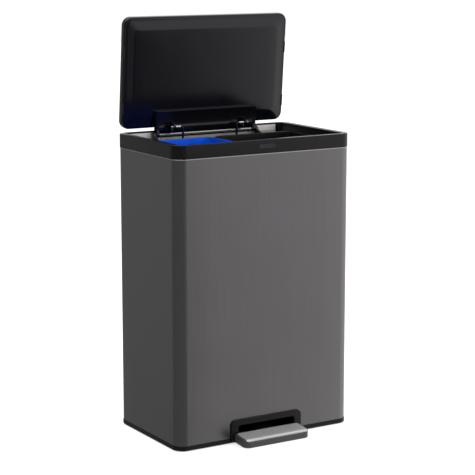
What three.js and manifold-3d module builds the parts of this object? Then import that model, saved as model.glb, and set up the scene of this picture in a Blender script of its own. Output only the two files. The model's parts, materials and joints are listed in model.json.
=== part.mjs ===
// Double recycling bin: a steel step bin with two lift-out inner buckets.
// Millimetres, +Z up, +Y towards the back, origin on the floor at the centre of the body's footprint.
// The lid stands open and the pedal is pressed down.
import * as THREE from "three";
import { mergeVertices } from "three/addons/utils/BufferGeometryUtils.js";
import Module from "manifold-3d";

const wasm = await Module();
wasm.setup();

// ---- Driving dimensions ----
// The body, outside, and its sheet.
const WIDTH = 430;
const DEPTH = 264;
const RIM_TOP = 640;
const CORNER_R = 25;
const SHEET = 1;

// Clearances: a seam between pieces that are fixed together, a running fit, and how far a cut runs past its piece.
const SEAM = 0.3;
const RUNNING_GAP = 0.35;
const PAST = 1;

// The rim: its lands, the lead-in of its opening and its hollow underside.
const RIM_HEIGHT = 28.5;
const RIM_PROUD = 1;
const RIM_LAND = 16;
const RIM_FRONT_LAND = 10;
const RIM_REAR_LAND = 5;
const RIM_CHAMFER = 2;
const RIM_INNER_R = 8;
const RIM_THROAT = 3;
const RIM_LEAD_IN = 12;
const RIM_WALL = 3;
const RIM_ROOF = 6;
const RIM_GROOVE_R = 14;

// The blank badge place on the rim's front.
const BADGE_X = 1;
const BADGE_DROP = 13.8;
const BADGE_WIDTH = 40;
const BADGE_HEIGHT = 9;
const BADGE_R = 3;
const BADGE_PROUD = 0.4;
const BADGE_POCKET = 1;

// The base ring, the collar inside it, the middle boss and the feet.
const BASE_HEIGHT = 12;
const BASE_WALL = 3;
const BASE_SOLE = 2.7;
const COLLAR_WALL = 2.4;
const BOSS_HALF = 16;
const BOSS_R = 8;
const FOOT_HEIGHT = 1.5;
const FOOT_R = 11;
const FOOT_DIMPLE_R = 5;
const FOOT_DIMPLE = 0.7;
const FOOT_INSET = 34;
const FOOT_SEAT = 0.02;

// The surround of the pedal's slot.
const SURROUND_HALF = 88;
const SURROUND_TOP = 51;
const SURROUND_PROUD = 2.5;
const SURROUND_DEPTH = 17;
const SURROUND_LAP = 6;
const SURROUND_FOOT_R = 3;
const SURROUND_HEAD_R = 14;
const SURROUND_WALL = 3;
const SLOT_HALF = 70;
const SLOT_TOP = 38.5;
const SLOT_BOTTOM = 6.1;
const SLOT_FOOT_R = 2;
const SLOT_HEAD_R = 5;
const SLOT_SILL = 1.5;
const MOUTH_GAP = 1;
const MOUTH_DEPTH = 3;

// The lid, drawn closed. Its inner panel drops below the skirt as a pillow.
const LID_SIDE_INSET = 12;
const LID_OVERHANG = 3;
const LID_LENGTH = 240;
const LID_CORNER_R = 19;
const LID_HEIGHT = 15;
const LID_CROWN = 2;
const LID_WALL = 3.2;
const LID_LIFT = 1.3;
const LID_EDGE = 4;
const OPEN_ANGLE = 85;
const SKIN_INSET = 4.4;
const SKIN_SHEET = 0.5;
const SKIN_SEAT = 0.05;
const FLANGE_RISE = 0.3;
const FLANGE_THICK = 2.2;
const PILLOW_DROP = 7;
const PILLOW_INSET = 16;
const PILLOW_FRONT_INSET = 20;
const PILLOW_WALL = 2.4;
const PILLOW_R = 14;
const BUMPER_HALF = 12;
const BUMPER_Y = 60;

// The hinge: a rod through the body's brackets and the lid's plate.
const HINGE_SETIN = 13;
const HINGE_DROP = 9;
const HINGE_ROD_R = 3;
const HINGE_ROD_END = 5.5;
const EYE_WALL = 2.5;
const PLATE_HALF = 126;
const PLATE_THICK = 6;
const PLATE_LENGTH = 47;
const PLATE_ROD_GAP = 2;
const GUSSET = 8;
const GUSSET_REACH = 26;
const GUSSET_SINK = 0.5;
const BRACKET_GAP = 1;
const BRACKET_THICK = 5;
const BRACKET_NOSE = 22;
const BRACKET_NOSE_HEIGHT = 2;
const BACKING_HALF = 116;
const BACKING_THICK = 2.1;
const BACKING_TOP_GAP = 0.5;

// The pale rail behind the hinge, its narrow ledge and its screws.
const RAIL_SHEET = 0.9;
const RAIL_SIDE_GAP = 13;
const RAIL_TOP_DROP = 4;
const RAIL_DROP = 48;
const LEDGE_DROP = 20.1;
const LEDGE_DEPTH = 12;
const LEDGE_THICK = 1.5;
const LEDGE_INSET = 2;
const SCREW_INSET = 16;
const SCREW_RISE = 11;
const SCREW_R = 3.6;
const SCREW_SHANK_R = 1.6;
const SCREW_HOLE_R = 1.9;
const SCREW_REACH = 4;
const SCREW_SEAT = 0.05;

// The lift frame is one bent rod, whose ends run in the slots of the lid's two lugs.
const WIRE_R = 2.5;
const WIRE_X = 68;
const WIRE_TIP_X = 97;
const WIRE_BEND = 6;
const LUG_X = 90;
const LUG_THICK = 4;
const LUG_WALL = 3;
const LUG_FRONT = 9;
const LUG_BELOW = 12;
const PIN_REACH = 26;
const SLOT_CLEAR = 1.3;

// The pedal's lever and the rod that it turns on.
const PIVOT_SETBACK = 62;
const PIVOT_Z = 29;
const PIVOT_R = 4;
const PIVOT_HUB = 4;
const PIVOT_BRACKET_GAP = 4;
const PIVOT_BRACKET_THICK = 8;
const PIVOT_BRACKET_HALF = 12;
const PIVOT_BRACKET_ABOVE = 10;
const PIVOT_BRACKET_R = 9;
const LEVER_WIDTH = 44;
const LEVER_THICK = 8;
const LEVER_END_R = 6.5;
const LEVER_DROP = 7.5;
const LEVER_PLAY = 1.1;
const LEVER_INTO_PEDAL = 18;

// The pedal: a steel tread on a moulded body.
const PEDAL_HALF = 81;
const PEDAL_GAP = 3;
const PEDAL_LENGTH = 46;
const PEDAL_NOSE = 4;
const PEDAL_TILT = 6;
const PEDAL_TOP_BACK = 23;
const PEDAL_HEIGHT = 15;
const PEDAL_FLOOR_GAP = 1;
const PEDAL_BEVEL = 0.8;
const PEDAL_FRONT_R = 14;
const PEDAL_BACK_R = 4;
const TREAD_THICK = 1.5;
const TREAD_INSET = 2;

// The inner floor, the two buckets and the cover behind them.
const FLOOR_Z = 54;
const FLOOR_THICK = 3;
const FLOOR_GAP = 1;
const FLOOR_SHELF = 2;
const FLOOR_RIBS = [-150, -110, 110, 150];
const RIB_THICK = 2.4;
const RIB_FRONT = 42;
const RIB_BACK = 62;
const BUCKET_DROP = 15;
const BUCKET_BACK_ROOM = 48;
const BUCKET_WALL = 2.2;
const BUCKET_LIP = 4;
const BUCKET_LIP_HEIGHT = 8;
const BUCKET_DRAFT = 8;
const BUCKET_R = 18;
const BUCKET_GAP = 6;
const BUCKET_SPLIT_X = -8;
const BUCKET_SIDE_GAP = 5;
const COVER_GAP = 4;
const COVER_THICK = 2;
const COVER_SIDE_GAP = 6;
const COVER_TOP_DROP = 13;
const COVER_LUG_GAP = 1.4;
const COVER_WIRE_GAP = 1;

// The red slider that runs along the cover's top edge.
const SLIDER_X = -62;
const SLIDER_SETBACK = 3;
const SLIDER_LENGTH = 9;
const SLIDER_THICK = 4.4;
const SLIDER_HEIGHT = 11;
const SLIDER_TRAVEL = 8;
const TONGUE_LENGTH = 4;
const TONGUE_THICK = 2;
const TONGUE_DEPTH = 8;
const TRACK_GAP = 0.4;
const TRACK_END_GAP = 1;
const TRACK_DEPTH = 20;

// The spine up the back, the guides of the lift frame and the damper.
const SPINE_HALF = 86;
const SPINE_THICK = 3;
const SPINE_DROP = 50;
const SPINE_RAIL_DROP = 80;
const SPINE_RAIL = 6;
const SPINE_FLOOR_GAP = 3;
const GUIDE_HEIGHT = 12;
const GUIDE_HALF = 7;
const GUIDE_STRAP = 5;
const GUIDE_BORE_GAP = 0.5;
const GUIDE_LOW_Z = 110;
const GUIDE_HIGH_DROP = 100;
const DAMPER_R = 9;
const DAMPER_WALL = 1.5;
const DAMPER_SETBACK = 6;
const DAMPER_BOTTOM = 150;
const DAMPER_TOP = 288;
const DAMPER_FOOT = 6;
const DAMPER_CAP_HEIGHT = 6;
const DAMPER_CAP_PROUD = 2;
const DAMPER_CAP_ROOF = 4;
const DAMPER_ROD_R = 2.4;
const DAMPER_ROD_GAP = 0.8;
const PISTON_HEIGHT = 8;
const PISTON_GAP = 0.7;
const PISTON_REST = 20;
const CLAMP_WALL = 3;
const CLAMP_LOW = 14;
const CLAMP_HIGH = 30;
const BRIDGE_RISE = 49;
const BRIDGE_HEIGHT = 12;
const BRIDGE_FRONT = 6;
const BRIDGE_BACK = 4;
const BRIDGE_END = 6;

// ---- Sizes worked out from the driving ones ----
const halfW = WIDTH / 2;
const halfD = DEPTH / 2;
const rimBottom = RIM_TOP - RIM_HEIGHT;
const wrapW = WIDTH - 2 * RIM_PROUD;
const wrapD = DEPTH - 2 * RIM_PROUD;
const wrapR = CORNER_R - RIM_PROUD;
const wrapBack = wrapD / 2 - SHEET;
const innerHalf = halfW - RIM_LAND;
const innerFront = -halfD + RIM_FRONT_LAND;
const innerBack = halfD - RIM_REAR_LAND;
const badgeZ = RIM_TOP - BADGE_DROP;
const baseFloor = FOOT_HEIGHT + BASE_SOLE;

const hingeY = halfD - HINGE_SETIN;
const hingeZ = RIM_TOP - HINGE_DROP;
const openRad = THREE.MathUtils.degToRad(OPEN_ANGLE);
const pinHalfAngle = openRad / 2;
const wireY = hingeY - PIN_REACH * Math.cos(pinHalfAngle);
const pinRise = PIN_REACH * Math.sin(pinHalfAngle);
const pinOpenZ = hingeZ + pinRise;

const pivotY = -halfD + PIVOT_SETBACK;
const leverReach = wireY - pivotY;
const leverAngle = Math.asin(pinRise / leverReach);
const barOpenZ = PIVOT_Z + pinRise;
const pedalBack = -halfD - PEDAL_GAP;
const pedalFront = pedalBack - PEDAL_LENGTH;
const pedalKnee = pedalFront + PEDAL_NOSE;
const leverFront = pedalBack - LEVER_INTO_PEDAL;

const lidHalf = halfW - LID_SIDE_INSET;
const lidFront = -halfD - LID_OVERHANG;
const lidBack = lidFront + LID_LENGTH;
const lidBottom = RIM_TOP + LID_LIFT;
const lidTop = lidBottom + LID_HEIGHT;
const pillowZ = lidBottom - PILLOW_DROP;
const plateTop = pillowZ - SEAM;
const plateBottom = plateTop - PLATE_THICK;
const plateBack = hingeY - HINGE_ROD_R - PLATE_ROD_GAP;
const eyeR = HINGE_ROD_R + RUNNING_GAP + EYE_WALL;

const floorTop = FLOOR_Z + FLOOR_THICK;
const bucketTop = RIM_TOP - BUCKET_DROP;
const bucketBack = halfD - BUCKET_BACK_ROOM;
const coverFront = bucketBack + COVER_GAP;
const coverBack = coverFront + COVER_THICK;
const coverTop = bucketTop - COVER_TOP_DROP;
const sliderY = coverBack + SLIDER_SETBACK;

const railHalf = innerHalf - RAIL_SIDE_GAP;
const railFront = innerBack - SEAM - RAIL_SHEET;
const railBottom = RIM_TOP - RAIL_DROP;
const railScrewZ = railBottom + SCREW_RISE;
const railScrews = [-railHalf + SCREW_INSET, railHalf - SCREW_INSET];
const ledgeTop = RIM_TOP - LEDGE_DROP;

const spineBack = wrapBack - SEAM;
const spineFront = spineBack - SPINE_THICK;
const spineBottom = floorTop + SPINE_FLOOR_GAP;
const guideHighZ = RIM_TOP - GUIDE_HIGH_DROP;
const damperY = wireY + DAMPER_SETBACK;
const bridgeZ = DAMPER_TOP + BRIDGE_RISE;

// ---- Finishes ----
function finish(color, roughness, metalness) {
  return new THREE.MeshStandardMaterial({ color, roughness, metalness });
}
const darkSteel = finish(0x615f60, 0.42, 0.8);
const blackPlastic = finish(0x232325, 0.5, 0);
const lidBlack = finish(0x191a20, 0.4, 0);
const paleSteel = finish(0xc8c4bc, 0.35, 0.9);
const brightSteel = finish(0xd8d8d6, 0.25, 1);
const treadSteel = finish(0x858684, 0.35, 0.8);
const greyPlastic = finish(0x505052, 0.55, 0);
const bluePlastic = finish(0x004bcd, 0.45, 0);
const redPlastic = finish(0xc81e1e, 0.45, 0);
const rubber = finish(0x1a1a1a, 0.9, 0);

// ---- Solid helpers ----
function toSolid(geometry) {
  const bare = new THREE.BufferGeometry();
  bare.setAttribute("position", geometry.getAttribute("position"));
  if (geometry.index) bare.setIndex(geometry.index);
  const merged = mergeVertices(bare, 1e-4);
  return new wasm.Manifold(
    new wasm.Mesh({
      numProp: 3,
      vertProperties: new Float32Array(merged.attributes.position.array),
      triVerts: new Uint32Array(merged.index.array),
    }),
  );
}

function toGeometry(solid) {
  const mesh = solid.getMesh();
  const geometry = new THREE.BufferGeometry();
  geometry.setAttribute("position", new THREE.BufferAttribute(new Float32Array(mesh.vertProperties), 3));
  geometry.setIndex(new THREE.BufferAttribute(new Uint32Array(mesh.triVerts), 1));
  geometry.computeVertexNormals();
  return geometry;
}

function join(...pieces) {
  return toGeometry(pieces.map(toSolid).reduce((sum, piece) => sum.add(piece)));
}

function cut(body, ...tools) {
  return toGeometry(tools.map(toSolid).reduce((left, tool) => left.subtract(tool), toSolid(body)));
}

function box(x0, x1, y0, y1, z0, z1) {
  return new THREE.BoxGeometry(x1 - x0, y1 - y0, z1 - z0).translate(
    (x0 + x1) / 2,
    (y0 + y1) / 2,
    (z0 + z1) / 2,
  );
}

// A cylinder along an axis, given by where it starts, how long it runs and its centre line.
function rodX(x0, x1, y, z, r, sides = 20) {
  return new THREE.CylinderGeometry(r, r, x1 - x0, sides)
    .rotateZ(Math.PI / 2)
    .translate((x0 + x1) / 2, y, z);
}

function rodY(x, y0, y1, z, r, sides = 16) {
  return new THREE.CylinderGeometry(r, r, y1 - y0, sides).translate(x, (y0 + y1) / 2, z);
}

function rodZ(x, y, z0, z1, r, sides = 20) {
  return new THREE.CylinderGeometry(r, r, z1 - z0, sides)
    .rotateX(Math.PI / 2)
    .translate(x, y, (z0 + z1) / 2);
}

// An outline in the Y-Z plane, carried from x0 to x1.
function slabX(shape, x0, x1, curveSegments = 10) {
  const turn = new THREE.Matrix4().makeBasis(
    new THREE.Vector3(0, 1, 0),
    new THREE.Vector3(0, 0, 1),
    new THREE.Vector3(1, 0, 0),
  );
  return new THREE.ExtrudeGeometry(shape, { depth: x1 - x0, bevelEnabled: false, curveSegments })
    .applyMatrix4(turn)
    .translate(x0, 0, 0);
}

// An outline in the X-Z plane, carried from y1 (back) to y0 (front).
function slabY(shape, y0, y1, curveSegments = 8) {
  return new THREE.ExtrudeGeometry(shape, { depth: y1 - y0, bevelEnabled: false, curveSegments })
    .rotateX(Math.PI / 2)
    .translate(0, y1, 0);
}

// The span from near to far along X on one side of the middle, lower end first.
function between(side, near, far) {
  return side < 0 ? [-far, -near] : [near, far];
}

function polygon(points) {
  return new THREE.Shape(points.map(([a, b]) => new THREE.Vector2(a, b)));
}

// A rectangle between two corners, each of its four corners rounded by its own radius:
// lower left, lower right, upper right, upper left.
function roundedShape(a0, a1, b0, b1, [r0, r1, r2, r3]) {
  const shape = new THREE.Shape();
  const quarter = Math.PI / 2;
  shape.moveTo(a0 + r0, b0);
  shape.lineTo(a1 - r1, b0);
  if (r1 > 0) shape.absarc(a1 - r1, b0 + r1, r1, -quarter, 0, false);
  shape.lineTo(a1, b1 - r2);
  if (r2 > 0) shape.absarc(a1 - r2, b1 - r2, r2, 0, quarter, false);
  shape.lineTo(a0 + r3, b1);
  if (r3 > 0) shape.absarc(a0 + r3, b1 - r3, r3, quarter, 2 * quarter, false);
  shape.lineTo(a0, b0 + r0);
  if (r0 > 0) shape.absarc(a0 + r0, b0 + r0, r0, 2 * quarter, 3 * quarter, false);
  return shape;
}

// Level rounded-rectangle rings, from the lowest to the highest, skinned and closed at both ends.
function loft(rings, steps = 6) {
  const count = 4 * (steps + 1);
  const points = [];
  for (const { x0, x1, y0, y1, r, z } of rings) {
    const corners = [
      [x1 - r, y0 + r, -Math.PI / 2],
      [x1 - r, y1 - r, 0],
      [x0 + r, y1 - r, Math.PI / 2],
      [x0 + r, y0 + r, Math.PI],
    ];
    for (const [cx, cy, start] of corners) {
      for (let i = 0; i <= steps; i++) {
        const angle = start + (i / steps) * (Math.PI / 2);
        points.push(cx + r * Math.cos(angle), cy + r * Math.sin(angle), z);
      }
    }
  }
  const index = [];
  for (let k = 0; k + 1 < rings.length; k++) {
    for (let i = 0; i < count; i++) {
      const a = k * count + i;
      const b = k * count + ((i + 1) % count);
      index.push(a, b, b + count, a, b + count, a + count);
    }
  }
  const top = (rings.length - 1) * count;
  for (let i = 1; i + 1 < count; i++) {
    index.push(0, i + 1, i);
    index.push(top, top + i, top + i + 1);
  }
  const geometry = new THREE.BufferGeometry();
  geometry.setAttribute("position", new THREE.Float32BufferAttribute(points, 3));
  geometry.setIndex(index);
  return geometry;
}

function ring(halfWidth, y0, y1, r, z) {
  return { x0: -halfWidth, x1: halfWidth, y0, y1, r, z };
}

function prism(halfWidth, y0, y1, r, z0, z1, steps = 6) {
  return loft([ring(halfWidth, y0, y1, r, z0), ring(halfWidth, y0, y1, r, z1)], steps);
}

// Route points [x, z] with each inner corner replaced by a smooth bend of a few steps.
function softened(route, bend, steps = 6) {
  const points = [new THREE.Vector2(...route[0])];
  for (let i = 1; i + 1 < route.length; i++) {
    const corner = new THREE.Vector2(...route[i]);
    const toward = (k) => new THREE.Vector2(...route[k]).sub(corner).setLength(bend).add(corner);
    const curve = new THREE.QuadraticBezierCurve(toward(i - 1), corner, toward(i + 1));
    points.push(...curve.getPoints(steps));
  }
  points.push(new THREE.Vector2(...route[route.length - 1]));
  return points;
}

// A round rod bent in an upright plane at depth y: one ring of points square to the route at each step.
function bentRod(route, y, radius, bend, sides = 12) {
  const path = softened(route, bend);
  const points = [];
  path.forEach((p, k) => {
    const along = path[Math.min(k + 1, path.length - 1)].clone().sub(path[Math.max(k - 1, 0)]).normalize();
    for (let i = 0; i < sides; i++) {
      const angle = (i / sides) * 2 * Math.PI;
      const across = radius * Math.cos(angle);
      points.push(p.x - along.y * across, y + radius * Math.sin(angle), p.y + along.x * across);
    }
  });
  const index = [];
  for (let k = 0; k + 1 < path.length; k++) {
    for (let i = 0; i < sides; i++) {
      const a = k * sides + i;
      const b = k * sides + ((i + 1) % sides);
      index.push(a, b + sides, b, a, a + sides, b + sides);
    }
  }
  const last = (path.length - 1) * sides;
  for (let i = 1; i + 1 < sides; i++) {
    index.push(0, i, i + 1);
    index.push(last, last + i + 1, last + i);
  }
  const geometry = new THREE.BufferGeometry();
  geometry.setAttribute("position", new THREE.Float32BufferAttribute(points, 3));
  geometry.setIndex(index);
  return geometry;
}

// ---- Body ----
function bodyWrap() {
  const outer = prism(wrapW / 2, -wrapD / 2, wrapD / 2, wrapR, BASE_HEIGHT + SEAM, rimBottom - SEAM, 8);
  const inner = prism(wrapW / 2 - SHEET, -wrapBack, wrapBack, wrapR - SHEET, 0, RIM_TOP, 8);
  const gap = SURROUND_HALF - SURROUND_LAP;
  const opening = box(-gap, gap, -halfD - PAST, -halfD + CORNER_R, 0, SURROUND_TOP - SURROUND_LAP);
  return cut(outer, inner, opening);
}

function topRim() {
  const outer = loft([
    ring(halfW, -halfD, halfD, CORNER_R, rimBottom),
    ring(halfW, -halfD, halfD, CORNER_R, RIM_TOP - RIM_CHAMFER),
    ring(halfW - RIM_CHAMFER, -halfD + RIM_CHAMFER, halfD - RIM_CHAMFER, CORNER_R - RIM_CHAMFER, RIM_TOP),
  ], 8);
  const throat = [innerHalf - RIM_THROAT, innerFront + RIM_THROAT, innerBack, RIM_INNER_R];
  const opening = loft([
    ring(...throat, rimBottom - PAST),
    ring(...throat, RIM_TOP - RIM_LEAD_IN),
    ring(innerHalf, innerFront, innerBack, RIM_INNER_R + 2, RIM_TOP + PAST),
  ], 8);
  return cut(outer, opening, rimUndercut(), badgePocket());
}

// The rim is a hollow moulding: a groove under its land takes the wrap's top edge.
function rimUndercut() {
  const low = rimBottom - PAST;
  const outer = prism(halfW - RIM_WALL, -halfD + RIM_WALL, halfD - RIM_WALL, CORNER_R - RIM_WALL, low, RIM_TOP - RIM_ROOF);
  const inner = prism(innerHalf + 1, innerFront - 1, halfD - RIM_WALL - 0.2, RIM_GROOVE_R, low - PAST, RIM_TOP);
  const front = box(-halfW, halfW, -halfD, halfD - RIM_REAR_LAND - RIM_WALL, low - PAST, RIM_TOP);
  return toGeometry(toSolid(outer).subtract(toSolid(inner)).intersect(toSolid(front)));
}

function badgeShape(margin) {
  const w = BADGE_WIDTH / 2 + margin;
  const h = BADGE_HEIGHT / 2 + margin;
  const corners = [BADGE_R, BADGE_R, BADGE_R, BADGE_R];
  return roundedShape(BADGE_X - w, BADGE_X + w, badgeZ - h, badgeZ + h, corners);
}

function badgePocket() {
  return slabY(badgeShape(SEAM), -halfD - PAST, -halfD + BADGE_POCKET);
}

function badgePlate() {
  return slabY(badgeShape(0), -halfD - BADGE_PROUD, -halfD + BADGE_POCKET - SEAM);
}

function baseTray() {
  const well = prism(halfW - BASE_WALL, -halfD + BASE_WALL, halfD - BASE_WALL, CORNER_R - BASE_WALL, baseFloor,
    BASE_HEIGHT + PAST, 8);
  const shell = cut(prism(halfW, -halfD, halfD, CORNER_R, FOOT_HEIGHT, BASE_HEIGHT, 8), well);
  const half = wrapW / 2 - SHEET - SEAM;
  const back = wrapBack - SEAM;
  const collarBottom = baseFloor - BASE_SOLE / 4;
  const collar = cut(
    prism(half, -back, back, wrapR - SHEET, collarBottom, FLOOR_Z, 8),
    prism(half - COLLAR_WALL, -back + COLLAR_WALL, back - COLLAR_WALL, wrapR - SHEET - COLLAR_WALL,
      collarBottom - 0.1, FLOOR_Z + PAST, 8),
  );
  const boss = prism(BOSS_HALF, -BOSS_HALF, BOSS_HALF, BOSS_R, 0, FOOT_HEIGHT + 1, 3);
  const wide = SURROUND_HALF + MOUTH_GAP;
  const mouth = box(-wide, wide, -halfD - PAST, -halfD + SURROUND_DEPTH + MOUTH_DEPTH, baseFloor, FLOOR_Z + PAST);
  return cut(join(shell, collar, boss), mouth);
}

function pedalSurround() {
  const front = -halfD - SURROUND_PROUD;
  const back = -halfD + SURROUND_DEPTH;
  const corners = [SURROUND_FOOT_R, SURROUND_FOOT_R, SURROUND_HEAD_R, SURROUND_HEAD_R];
  const outline = roundedShape(-SURROUND_HALF, SURROUND_HALF, FOOT_HEIGHT + SEAM, SURROUND_TOP, corners);
  const face = slabY(outline, front, -wrapD / 2 - SEAM);
  const tunnelHalf = SLOT_HALF + SURROUND_WALL;
  const tunnel = box(-tunnelHalf, tunnelHalf, front + 1, back, SLOT_BOTTOM - SLOT_SILL, SLOT_TOP + SURROUND_WALL);
  const slotCorners = [SLOT_FOOT_R, SLOT_FOOT_R, SLOT_HEAD_R, SLOT_HEAD_R];
  const slot = slabY(roundedShape(-SLOT_HALF, SLOT_HALF, SLOT_BOTTOM, SLOT_TOP, slotCorners), front - PAST, back + PAST);
  return cut(join(face, tunnel), slot, baseClearance());
}

// Room for the base ring's front, which the surround is hooked over.
function baseClearance() {
  const wide = SURROUND_HALF + MOUTH_GAP;
  return box(-wide, wide, -halfD - SEAM, 0, 0, baseFloor + SEAM);
}

function innerFloor() {
  const gap = wrapW / 2 - SHEET - FLOOR_GAP;
  const plate = prism(gap, -wrapBack + FLOOR_GAP, coverBack + FLOOR_SHELF, wrapR - SHEET, FLOOR_Z, floorTop);
  const rib = (x) => box(x - RIB_THICK / 2, x + RIB_THICK / 2, -halfD + RIB_FRONT, halfD - RIB_BACK, FLOOR_Z - 1, FLOOR_Z);
  return join(plate, ...FLOOR_RIBS.map(rib));
}

function foot(x, y) {
  return cut(
    rodZ(x, y, 0, FOOT_HEIGHT - FOOT_SEAT, FOOT_R, 24),
    rodZ(x, y, -PAST, FOOT_DIMPLE, FOOT_DIMPLE_R, 16),
  );
}

// ---- Mechanism at the back ----
function mechanismCover() {
  const half = innerHalf - COVER_SIDE_GAP;
  const wall = box(-half, half, coverFront, coverBack, floorTop + SEAM, coverTop);
  const reach = LUG_X - LUG_THICK - COVER_LUG_GAP;
  const flangeBack = wireY - WIRE_R - COVER_WIRE_GAP;
  const flange = box(-reach, reach, coverFront, flangeBack, coverTop - COVER_THICK, coverTop + COVER_THICK);
  const trackHalf = TONGUE_THICK / 2 + TRACK_GAP;
  const trackEnd = TONGUE_LENGTH / 2 + TRACK_END_GAP;
  const track = box(
    SLIDER_X - SLIDER_TRAVEL - trackEnd,
    SLIDER_X + trackEnd,
    sliderY - trackHalf,
    sliderY + trackHalf,
    coverTop - TRACK_DEPTH,
    coverTop + TRACK_DEPTH,
  );
  return cut(join(wall, flange), track);
}

// Red tab that slides along the cover's top edge, with a tongue down in its slot.
function holdOpenSlider() {
  const seat = coverTop + COVER_THICK + SEAM;
  const tab = (length, thick, z0, z1) =>
    box(SLIDER_X - length / 2, SLIDER_X + length / 2, sliderY - thick / 2, sliderY + thick / 2, z0, z1);
  return join(
    tab(SLIDER_LENGTH, SLIDER_THICK, seat, seat + SLIDER_HEIGHT),
    tab(TONGUE_LENGTH, TONGUE_THICK, seat - TONGUE_DEPTH, seat + 1),
  );
}

function rearSpine() {
  const plate = box(-SPINE_HALF, SPINE_HALF, spineFront, spineBack, spineBottom, RIM_TOP - SPINE_DROP);
  const middle = SPINE_HALF - SPINE_RAIL / 2;
  const rails = [-middle, middle].map((x) =>
    box(x - SPINE_RAIL / 2, x + SPINE_RAIL / 2, coverBack + SEAM, spineFront, spineBottom, RIM_TOP - SPINE_RAIL_DROP));
  return join(plate, ...rails);
}

// Two blocks that the lift frame's legs slide in, joined by a strap on the spine.
function wireGuide(z0) {
  const z1 = z0 + GUIDE_HEIGHT;
  const back = spineFront - SEAM;
  const blocks = [-WIRE_X, WIRE_X].map((x) =>
    box(x - GUIDE_HALF, x + GUIDE_HALF, wireY - GUIDE_HALF, back, z0, z1));
  const strap = box(-WIRE_X, WIRE_X, back - GUIDE_STRAP + SEAM, back, z0, z1);
  return cut(join(...blocks, strap), ...wireBores(z0, z1, GUIDE_BORE_GAP));
}

// Bores for both legs of the lift frame, between two heights.
function wireBores(z0, z1, gap) {
  return [-WIRE_X, WIRE_X].map((x) => rodZ(x, wireY, z0 - PAST, z1 + PAST, WIRE_R + gap));
}

function damperClamp(z0) {
  const z1 = z0 + GUIDE_HEIGHT;
  const half = DAMPER_R + CLAMP_WALL;
  const band = rodZ(0, damperY, z0, z1, half, 24);
  const seat = box(-half, half, damperY, spineFront - SEAM, z0, z1);
  return cut(join(band, seat), rodZ(0, damperY, z0 - PAST, z1 + PAST, DAMPER_R + SEAM, 24));
}

function damperCylinder() {
  const tube = rodZ(0, damperY, DAMPER_BOTTOM, DAMPER_TOP, DAMPER_R, 24);
  const cap = rodZ(0, damperY, DAMPER_TOP - DAMPER_CAP_HEIGHT, DAMPER_TOP, DAMPER_R + DAMPER_CAP_PROUD, 24);
  const roof = DAMPER_TOP - DAMPER_CAP_ROOF;
  const bore = rodZ(0, damperY, DAMPER_BOTTOM + DAMPER_FOOT, roof, DAMPER_R - DAMPER_WALL, 24);
  const mouth = rodZ(0, damperY, roof - 1, DAMPER_TOP + PAST, DAMPER_ROD_R + DAMPER_ROD_GAP, 16);
  return cut(join(tube, cap), bore, mouth);
}

function damperRod() {
  const travel = 2 * pinRise;
  const piston = DAMPER_BOTTOM + travel + PISTON_REST;
  return join(
    rodZ(0, damperY, piston, bridgeZ - SEAM, DAMPER_ROD_R, 14),
    rodZ(0, damperY, piston, piston + PISTON_HEIGHT, DAMPER_R - DAMPER_WALL - PISTON_GAP, 24),
  );
}

// The bar between the lift frame's legs that pulls on the damper's rod.
function liftBridge() {
  const half = WIRE_X + BRIDGE_END;
  const top = bridgeZ + BRIDGE_HEIGHT;
  const bar = box(-half, half, wireY - BRIDGE_FRONT, damperY + BRIDGE_BACK, bridgeZ, top);
  return cut(bar, ...wireBores(bridgeZ, top, SEAM));
}

// One bent rod: a crossbar on the lever, two legs, and two ends turned out through the lid's lugs.
function liftFrame() {
  const half = [
    [WIRE_X, barOpenZ],
    [WIRE_X, pinOpenZ],
    [WIRE_TIP_X, pinOpenZ],
  ];
  const mirrored = half.map(([x, z]) => [-x, z]).reverse();
  return bentRod([...mirrored, ...half], wireY, WIRE_R, WIRE_BEND);
}

// ---- Hinge on the body ----
function hingeRail() {
  const web = box(-railHalf, railHalf, railFront, innerBack - SEAM, railBottom, RIM_TOP - RAIL_TOP_DROP);
  const half = railHalf - LEDGE_INSET;
  const ledge = box(-half, half, railFront - LEDGE_DEPTH, railFront + RAIL_SHEET / 2, ledgeTop - LEDGE_THICK, ledgeTop);
  return cut(join(web, ledge), ...railScrews.map((x) => screwHole(x, railFront, railScrewZ)));
}

// Bracket that stands on the ledge: a low nose in front, a slope up to the eye, and an upright back.
function hingeBracket(side) {
  const foot = ledgeTop + SEAM;
  const nose = hingeY - BRACKET_NOSE;
  const outline = polygon([
    [nose, foot],
    [railFront - SEAM, foot],
    [railFront - SEAM, hingeZ + eyeR],
    [hingeY - 2, hingeZ + eyeR],
    [hingeY - eyeR + 1, hingeZ + eyeR - 3],
    [nose, foot + BRACKET_NOSE_HEIGHT],
  ]);
  const near = PLATE_HALF + BRACKET_GAP;
  const [x0, x1] = between(side, near, near + BRACKET_THICK);
  const bore = rodX(x0 - PAST, x1 + PAST, hingeY, hingeZ, HINGE_ROD_R + RUNNING_GAP);
  return cut(slabX(outline, x0, x1), bore);
}

// Black strip on the rail behind the hinge rod.
function hingeBacking() {
  const back = railFront - SEAM;
  const top = RIM_TOP - RAIL_TOP_DROP - BACKING_TOP_GAP;
  return box(-BACKING_HALF, BACKING_HALF, back - BACKING_THICK, back, ledgeTop + SEAM, top);
}

function hingeRod() {
  const end = PLATE_HALF + HINGE_ROD_END;
  return rodX(-end, end, hingeY, hingeZ, HINGE_ROD_R);
}

// ---- Lid, drawn closed ----
// A level ring of the lid's outline, drawn in by an inset.
function lidRing(inset, z) {
  return ring(lidHalf - inset, lidFront + inset, lidBack - inset, LID_CORNER_R - inset, z);
}

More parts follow.
